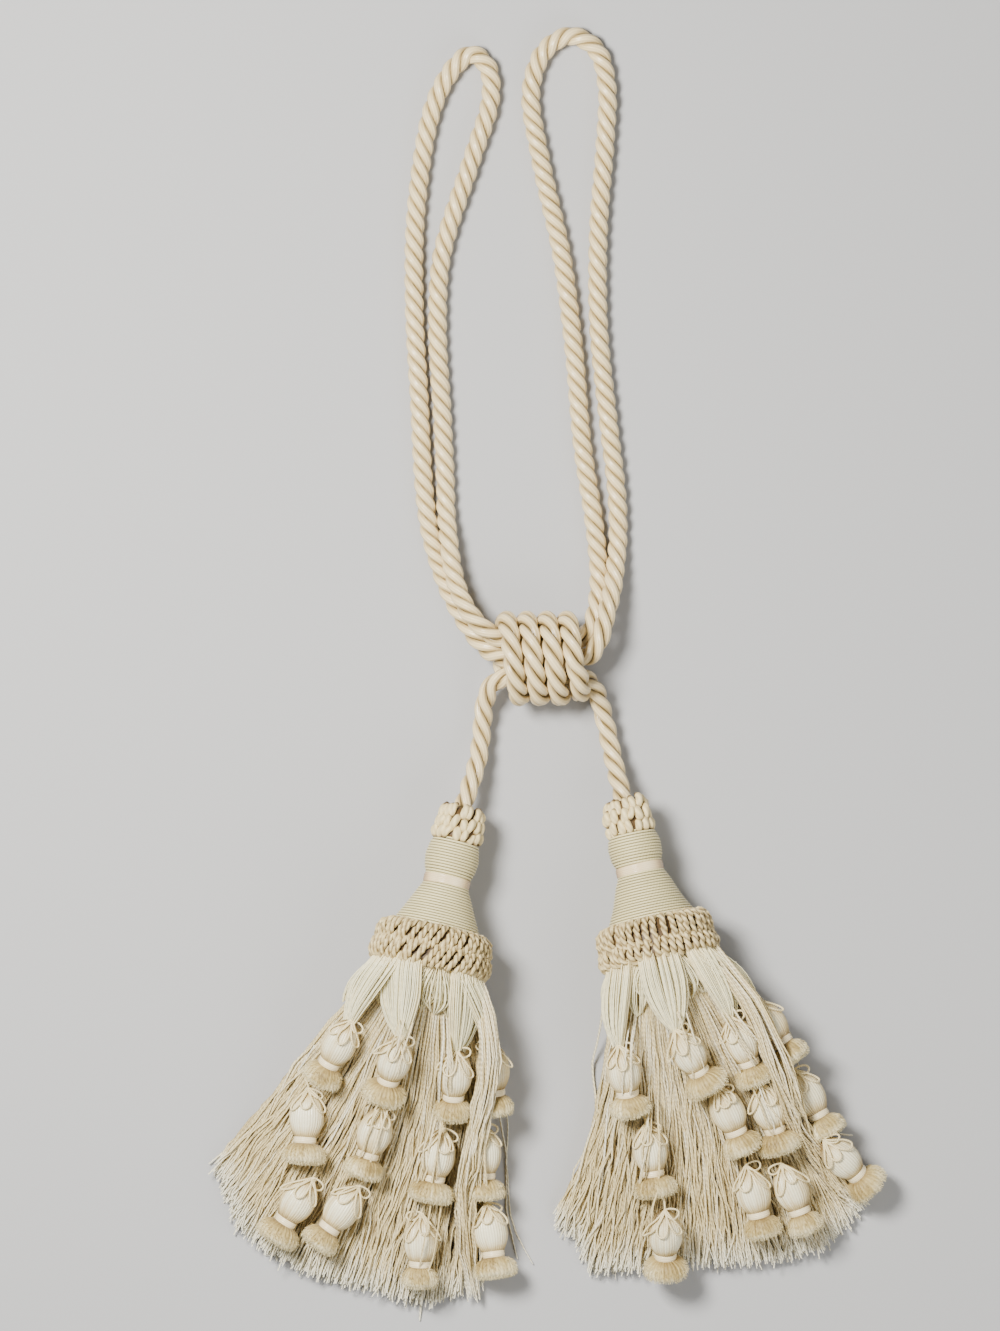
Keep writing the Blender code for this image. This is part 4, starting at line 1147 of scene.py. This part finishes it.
def overskirt(tassel, yarn_tree, finish):
    """Glossy floss over the fringe's root: short locks under broad skeins that reach the hangers."""
    random = tassel.random
    found = []
    way = np.linspace(0.0, 1.0, FLOSS_POINTS - 1)
    for lock in range(FLOSS_LOCKS):
        share = (lock + 0.5) / FLOSS_LOCKS
        centre = math.radians(FLOSS_START_DEG + FLOSS_SPAN_DEG * share + random.normal(0, 2.0))
        length = random.uniform(*FLOSS_LENGTHS)
        half = random.uniform(*FLOSS_HALF_ANGLES)
        raised = 0.9 * (lock % 2)
        for _ in range(FLOSS_THREADS):
            side = random.uniform(-1, 1)
            depth = random.uniform(0, 1)
            spread = half * side * (0.62 + 0.5 * np.sin(math.pi * way * 0.8)) * (1 - 0.55 * way ** 6)
            reach = length * (1 - 0.3 * side * side) * way
            plump = np.sqrt(1 - side * side)
            arch = (0.5 + 0.7 * np.sin(math.pi * way * 0.85)) * (1 - 0.7 * way ** 7)
            lift = raised + (0.6 + 4.2 * depth * plump) * arch
            root = tassel.place(FLOSS_ROOT_RADIUS + depth, centre + spread[0] * 0.9, FLOSS_ROOT)
            line = np.concatenate([root[None], tassel.skin_point(centre + spread, reach, lift)])
            # Painted shade: threads that lie lower in the lock and towards its sides get a lower tone.
            found.append((line, 0.2 + 0.8 * depth * plump))
    for label in ("11", "12", "13", "14"):
        turn = hanger_place(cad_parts[f"{tassel.side}_hanger_{label}"])
        found.extend(skein_lines(tassel, turn[:3, 3] / MM + turn[:3, 2] * 0.5))
    count = len(found)
    # Painted shade: the tone rises with how high a thread lies, falls towards the root under the ruff, and
    # differs a little at random from thread to thread.
    shade_at_root = np.clip(np.linspace(0.35, 2.6, FLOSS_POINTS), 0, 1)
    values = {
        "loose": [np.linspace(0, 0.4, FLOSS_POINTS)] * count,
        "tone": [(0.52 + 0.45 * height + 0.12 * random.uniform()) * shade_at_root for _, height in found],
        "thick": [np.full(FLOSS_POINTS, random.uniform(0.8, 1.2)) for _ in found],
        "number": [np.full(FLOSS_POINTS, float(k)) for k in range(count)],
    }
    name = f"{tassel.side}_floss_skeins"
    mesh = line_mesh(name, [line for line, _ in found], **values)
    sizes = {
        "Yarn Radius": FLOSS_RADIUS * MM, "Wave Height": FLOSS_WAVE_HEIGHT * MM,
        "Wave Length": FLOSS_WAVE_LENGTH * MM,
        "Seed": tassel.sizes["seed"] + FLOSS_SEED, "Sides": YARN_SIDES, "Finish": finish,
    }
    return grown(name, mesh, yarn_tree, sizes)


# Hangers

def hanger_rings(rows, sides, ridges=0, height=0.0):
    """Rings round the hanger's own axis, with raised ridges along it."""
    angle = round_angles(sides)
    rings = []
    for station, radius in rows:
        r = radius + height * np.cos(ridges * angle) * min(1.0, radius / 3)
        rings.append(np.stack([r * np.cos(angle), r * np.sin(angle), np.full(sides, station)], axis=1))
    return rings


def loop_line(random, lean, length, half):
    """Cord loop that leaves the barrel's tip at a lean and lies over the barrel."""
    phase = np.linspace(-math.pi, math.pi, LOOP_POINTS)
    way = (1 + np.cos(phase)) / 2
    side = 1.35 * half * np.sin(phase) * (0.35 + 0.65 * way)
    x = length * way * math.sin(lean) + side * math.cos(lean)
    station = length * way * math.cos(lean) - side * math.sin(lean) - 2.6
    radius = np.interp(station, *zip(*BARREL)) + 0.9
    y = np.sqrt(np.maximum(radius ** 2 - x ** 2, (0.3 * radius) ** 2)) + 0.5 * np.sin(math.pi * way)
    y += random.uniform(0.0, 0.8) * way
    return np.stack([x, y, station], axis=1)


def tuft_skin(kind, trees, finish):
    """Cut tuft: a ridged cap with short fibres that spread from the waist."""
    stations = np.array([s for s, _ in TUFT])
    random = np.random.default_rng(TUFT_SEED + kind)
    off_patch = round_angles(TUFT_SIDES) - math.radians(random.uniform(60, 120))
    patch = np.exp(-(off_patch / TUFT_PATCH_WIDTH) ** 2)
    # Painted shade: the tone is low where the tuft meets the wrap and in a golden patch on the side that
    # faces up, where one looks into the cut pile. The frayed rim's pale colour and the random tone round
    # the tuft are the pile's own.
    depth = np.interp(stations, (25.5, 28.0, 31.5, 33.5), (0.4, 1.0, 0.9, 0.0))
    rim = np.interp(stations, (25.0, 26.5, 30.0, 33.5), (0.3, 0.62, 0.85, 1.0))
    tone = rim[:, None] - 0.5 * depth[:, None] * patch + random.normal(0, 0.08, TUFT_SIDES)
    tone = np.clip(tone, 0, 1)
    rows = [(s, r * TUFT_WIDTHS[kind]) for s, r in TUFT]
    rings = hanger_rings(rows, TUFT_SIDES, TUFT_RIDGES, TUFT_RIDGE_HEIGHT)
    cap = skin_object("tuft", rings, stations, finish, tone)
    mesh = cap.data
    points = np.array([v.co for v in mesh.vertices])
    run = points / MM - np.array([0.0, 0.0, FIBRES_SPREAD_FROM])
    run /= np.linalg.norm(run, axis=1, keepdims=True)
    store_values(mesh, "run", run, "FLOAT_VECTOR")
    store_values(mesh, "piled", points[:, 2] > FIBRES_START * MM, "BOOLEAN")
    bpy.data.objects.remove(cap)
    sizes = {
        "Fibres Each Area": FIBRES_EACH_AREA, "Fibre Length": FIBRE_LENGTH * MM,
        "Fibre Radius": FIBRE_RADIUS * MM, "Seed": PILE_SEED + kind, "Finish": finish,
    }
    return grown("tuft", mesh, trees["pile"], sizes)


def barrel_skin(random, finish):
    """Ridged silk barrel, streaked along its length, with painted shade at its ends and sides and a painted
    highlight where it faces up.
    """
    stations = np.array([s for s, _ in BARREL])
    # Painted shade and light: the tone is low at the tip and by the wrap, low on the sides and high where
    # the barrel faces up; the streaks are the silk's own uneven colour.
    along = np.interp(stations, (-2.2, 0.0, 2.5, 7, 15, 19, 22), (0.0, 0.2, 0.6, 0.95, 1.0, 0.65, 0.05))
    facing_up = np.clip(np.sin(round_angles(BARREL_SIDES)), 0, 1)
    streaks = random.normal(0, 0.09, BARREL_SIDES)
    across = 0.42 + 0.58 * facing_up ** 0.7 + (streaks + np.roll(streaks, 1))
    tone = np.clip(along[:, None] * across, 0, 1)
    rings = hanger_rings(BARREL, BARREL_SIDES, BARREL_RIDGES, BARREL_RIDGE_HEIGHT)
    return skin_object("barrel", rings, stations, finish, tone)


def loop_cords(random, trees, finish):
    """Cord loops at the tip of a barrel, of several sizes, and the cord's end behind it."""
    lines = [loop_line(random, random.normal(0, 0.22), random.uniform(9.5, 12.5), random.uniform(2.3, 3.0))]
    for way in (-1, 1):
        lean = way * random.uniform(0.45, 0.75)
        lines.append(loop_line(random, lean, random.uniform(11, 17), random.uniform(1.0, 1.9)))
    lean = random.choice((-1, 1)) * random.uniform(0.9, 1.4)
    lines.append(loop_line(random, lean, random.uniform(7, 9.5), random.uniform(1.5, 2.2)))
    way = np.linspace(0, 1, 8)
    lines.append(np.stack([random.uniform(-3, 3) * way ** 2, 1.0 - 7.0 * way, -2.2 - 5.0 * way], axis=1))
    turns = [np.zeros(len(line)) for line in lines]
    sizes = {
        "Plies": 1, "Ply Radius": LOOP_RADIUS * MM, "Lay Radius": 0.0,
        "Sides": LOOP_SIDES, "Finish": finish,
    }
    return grown("loops", line_mesh("loops", lines, turn=turns), trees["laid"], sizes)


def hanger_piece(kind, trees, finishes):
    """Silk barrel, cord loops at its tip, satin wrap at its waist and a cut tuft."""
    random = np.random.default_rng(HANGER_SEED + kind)
    barrel = barrel_skin(random, finishes["barrel"])
    stations = np.array([s for s, _ in WRAP])
    wrap = skin_object("wrap", hanger_rings(WRAP, WRAP_SIDES), stations, finishes["satin"])
    loops = loop_cords(random, trees, finishes["gimp"])
    tuft = tuft_skin(kind, trees, finishes["pile"])
    obj = joined(f"hanger_kind_{kind}", [barrel, wrap, tuft, loops])
    mesh = obj.data
    bpy.data.objects.remove(obj)
    return mesh


def hanger_place(node):
    """Turn and place of a hanger, read from the shape of its solid in the frame."""
    points = np.array([v.co for v in node.data.vertices])
    points = np.unique(points.round(6), axis=0)
    centre = points.mean(axis=0)
    axis = np.linalg.svd(points - centre)[2][0]
    way = (points - centre) @ axis
    spread = np.linalg.norm(points - centre - way[:, None] * axis, axis=1)
    if spread[way > 0].mean() < spread[way < 0].mean():
        axis = -axis
        way = -way
    top = centre + axis * way.min()
    across = np.cross(axis, (0.0, 0.0, 1.0))
    across /= np.linalg.norm(across)
    turn = np.eye(4)
    turn[:3, 0] = -across
    turn[:3, 1] = np.cross(axis, -across)
    turn[:3, 2] = axis
    turn[:3, 3] = top
    return turn


def add_hangers(side, kinds):
    """The side's hangers in turn, each of the next kind, where their solids are."""
    names = sorted(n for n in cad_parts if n.startswith(f"{side}_hanger_"))
    for number, name in enumerate(names):
        mesh = kinds[number % len(kinds)].copy()
        turn = hanger_place(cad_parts[name])
        mesh.transform(Matrix(turn.tolist()))
        obj = added(f"{name}_silk", mesh)
        mesh.name = obj.name
        settle(obj, "silk_hanger", name)


# Finishes

def new_finish(name, roughness, sheen):
    """Material with its node tree and its shader."""
    material = bpy.data.materials.new(name)
    material.use_nodes = True
    shader = material.node_tree.nodes["Principled BSDF"]
    shader.inputs["Roughness"].default_value = roughness
    shader.inputs["Sheen Weight"].default_value = sheen
    shader.inputs["Sheen Roughness"].default_value = 0.4
    shader.inputs["Specular IOR Level"].default_value = 0.4
    return NodeTree(material.node_tree), shader, material


def thread_finish(
    name, deep, mid, light, threads, lay, ridge, roughness, tone_range, shade=0.22, sheen=0.1, mottle=0.12,
):
    """Silk or yarn: threads wound at a lay along the piece, dark where the stored tone is low. The tone
    carries painted shade and painted light, and the deep colour also paints shade between the threads.
    """
    nodes, shader, material = new_finish(name, roughness, sheen)
    grain = nodes.add("ShaderNodeAttribute", {"attribute_name": "grain"}, None, "Vector")
    x, y, along = nodes.split(grain)
    angle = x.math("ARCTAN2", y, x)
    thread = (angle * threads + along * (math.tau / lay)).sine() * 0.5 + 0.5
    tone = nodes.add("ShaderNodeAttribute", {"attribute_name": "tone"}, None, "Fac")
    place = nodes.add("ShaderNodeTexCoord", None, None, "Object")
    patch = nodes.add("ShaderNodeTexNoise", None, {"Vector": place, "Scale": PATCH_SCALE, "Detail": 2.0})
    fine = nodes.add("ShaderNodeTexNoise", None, {"Vector": place, "Scale": FINE_SCALE, "Detail": 2.0})
    low, high = tone_range
    level = ((tone - low) / (high - low) + (patch - 0.5) * mottle * 2 + (fine - 0.5) * mottle).clamped()
    first = nodes.blend((level * 2).clamped(), (*deep, 1), (*mid, 1))
    colour = nodes.blend((level * 2 - 1).clamped(), first, (*light, 1))
    # Painted shade between the threads, in the deep colour.
    colour = nodes.blend((1 - thread) * shade, colour, (*deep, 1))
    nodes.feed(shader.inputs["Base Color"], colour)
    height = thread + (fine - 0.5) * 0.8
    inputs = {"Height": height, "Strength": ridge, "Distance": RELIEF_DEPTH}
    bump = nodes.add("ShaderNodeBump", None, inputs)
    nodes.feed(shader.inputs["Normal"], bump)
    return material


def make_finishes():
    """The part's finishes: deep, middle and light colour, threads round and the length of their lay."""
    return {
        "rope": thread_finish(
            "ivory_rope_silk", (0.06, 0.035, 0.01), (0.52, 0.38, 0.17), (0.88, 0.71, 0.40),
            threads=9, lay=0.016, ridge=0.5, roughness=0.28, tone_range=(0.60, 0.97), shade=0.16, sheen=0.0,
        ),
        "wound": thread_finish(
            "wound_cord_silk", (0.12, 0.09, 0.035), (0.50, 0.42, 0.20), (0.81, 0.72, 0.38),
            threads=2, lay=0.0016, ridge=0.3, roughness=0.45, tone_range=(0.25, 1.0), shade=0.16,
        ),
        "satin": thread_finish(
            "satin_thread", (0.34, 0.21, 0.11), (0.80, 0.61, 0.34), (1.0, 0.86, 0.54),
            threads=0, lay=0.0009, ridge=0.35, roughness=0.26, tone_range=(0.0, 1.0), sheen=0.0,
        ),
        "ruff": thread_finish(
            "knotted_cord_silk", (0.09, 0.05, 0.015), (0.50, 0.37, 0.16), (0.88, 0.72, 0.37),
            threads=3, lay=0.005, ridge=0.6, roughness=0.5, tone_range=(0.52, 0.98), shade=0.28,
        ),
        "yarn": thread_finish(
            "fringe_yarn_fibre", (0.34, 0.24, 0.10), (0.81, 0.67, 0.35), (1.0, 0.97, 0.79),
            threads=1, lay=0.0026, ridge=0.6, roughness=0.45, tone_range=(0.0, 1.3), shade=0.34,
        ),
        "floss": thread_finish(
            "silk_floss_fibre", (0.42, 0.30, 0.12), (0.93, 0.78, 0.42), (1.0, 0.94, 0.61),
            threads=1, lay=0.004, ridge=0.25, roughness=0.28, tone_range=(0.0, 1.0), shade=0.12,
        ),
        "barrel": thread_finish(
            "hanger_silk", (0.24, 0.15, 0.05), (0.74, 0.59, 0.30), (1.0, 0.94, 0.66),
            threads=36, lay=0.05, ridge=0.7, roughness=0.26, tone_range=(0.0, 1.0), shade=0.26, sheen=0.0,
            mottle=0.3,
        ),
        "gimp": thread_finish(
            "hanger_loop_cord", (0.32, 0.21, 0.08), (0.74, 0.59, 0.29), (0.97, 0.84, 0.50),
            threads=1, lay=0.0012, ridge=0.5, roughness=0.45, tone_range=(0.0, 1.2),
        ),
        "pile": thread_finish(
            "hanger_cut_pile", (0.22, 0.14, 0.04), (0.56, 0.43, 0.17), (0.97, 0.87, 0.54),
            threads=28, lay=0.05, ridge=0.6, roughness=0.55, tone_range=(0.0, 1.0), shade=0.34, mottle=0.4,
        ),
    }


def settle(piece, slot, *nodes):
    """Put a finished piece on the part's body, in place of its plain solids."""
    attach(piece, "root")
    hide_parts(*nodes)


# Studio

def place_camera():
    """Camera that sees the tie as the photo does, from straight above."""
    data = bpy.data.cameras.new("camera")
    data.lens = SENSOR_SIDE * (CAMERA_HEIGHT - VIEW_LEVEL) / VIEW_HEIGHT
    camera = added("camera", data)
    camera.location = (VIEW_X, VIEW_Y, CAMERA_HEIGHT)
    bpy.context.scene.camera = camera


def add_light(name, location, size, power, colour):
    """Area light that faces the tassels."""
    data = bpy.data.lights.new(name, "AREA")
    data.size = size
    data.energy = power
    data.color = colour
    light = added(name, data)
    light.location = location
    aim = Vector((VIEW_X, VIEW_Y - LIGHTS_AIM_BELOW, 0.0)) - Vector(location)
    light.rotation_euler = aim.to_track_quat("-Z", "Y").to_euler()


def make_studio():
    """White light all round, two lamps and a plain pale floor."""
    world = bpy.data.worlds.new("studio")
    world.use_nodes = True
    background = world.node_tree.nodes["Background"]
    background.inputs["Color"].default_value = (1.0, 1.0, 1.0, 1.0)
    background.inputs["Strength"].default_value = WORLD_STRENGTH
    bpy.context.scene.world = world
    for name, light in LIGHTS.items():
        add_light(name, *light)
    material = bpy.data.materials.new("pale_floor")
    material.use_nodes = True
    shader = material.node_tree.nodes["Principled BSDF"]
    shader.inputs["Base Color"].default_value = FLOOR_COLOUR
    shader.inputs["Roughness"].default_value = 0.8
    mesh = bpy.data.meshes.new("floor")
    corners = [(x * FLOOR_HALF, y * FLOOR_HALF, 0) for x, y in ((-1, -1), (1, -1), (1, 1), (-1, 1))]
    mesh.from_pydata(corners, [], [(0, 1, 2, 3)])
    mesh.materials.append(material)
    floor = added("floor", mesh)
    floor.location = (0, 0, -FLOOR_DROP)


place_camera()
make_studio()
finishes = make_finishes()
trees = {"laid": laid_cord_growth(), "yarns": yarn_growth(), "pile": pile_growth()}

rope, rope_line = laid_rope("rope_plies", rope_route(), ROPE_DIAMETER, trees["laid"], finishes["rope"])
settle(rope, "ivory_rope", "rope")
winding, _ = laid_rope("binding_plies", winding_route(), BINDING_DIAMETER, trees["laid"], finishes["rope"])
settle(winding, "ivory_rope", "binding_rope")

kinds = [hanger_piece(kind, trees, finishes) for kind in range(KINDS)]
for side in TASSELS:
    tassel = Tassel(side)
    settle(wound_head(tassel, trees["laid"], finishes["wound"]), "wound_cord", f"{side}_head")
    settle(satin_band(tassel, finishes["satin"]), "satin_band", f"{side}_waist_band")
    settle(top_ruff(tassel, trees["yarns"], finishes["ruff"]), "knotted_cord", f"{side}_top_ruff")
    settle(base_ruff(tassel, trees["laid"], finishes["ruff"]), "knotted_cord", f"{side}_base_ruff")
    settle(fringe(tassel, trees["yarns"], finishes["yarn"]), "fringe_yarn", f"{side}_fringe")
    settle(overskirt(tassel, trees["yarns"], finishes["floss"]), "silk_floss", f"{side}_overskirt")
    add_hangers(side, kinds)
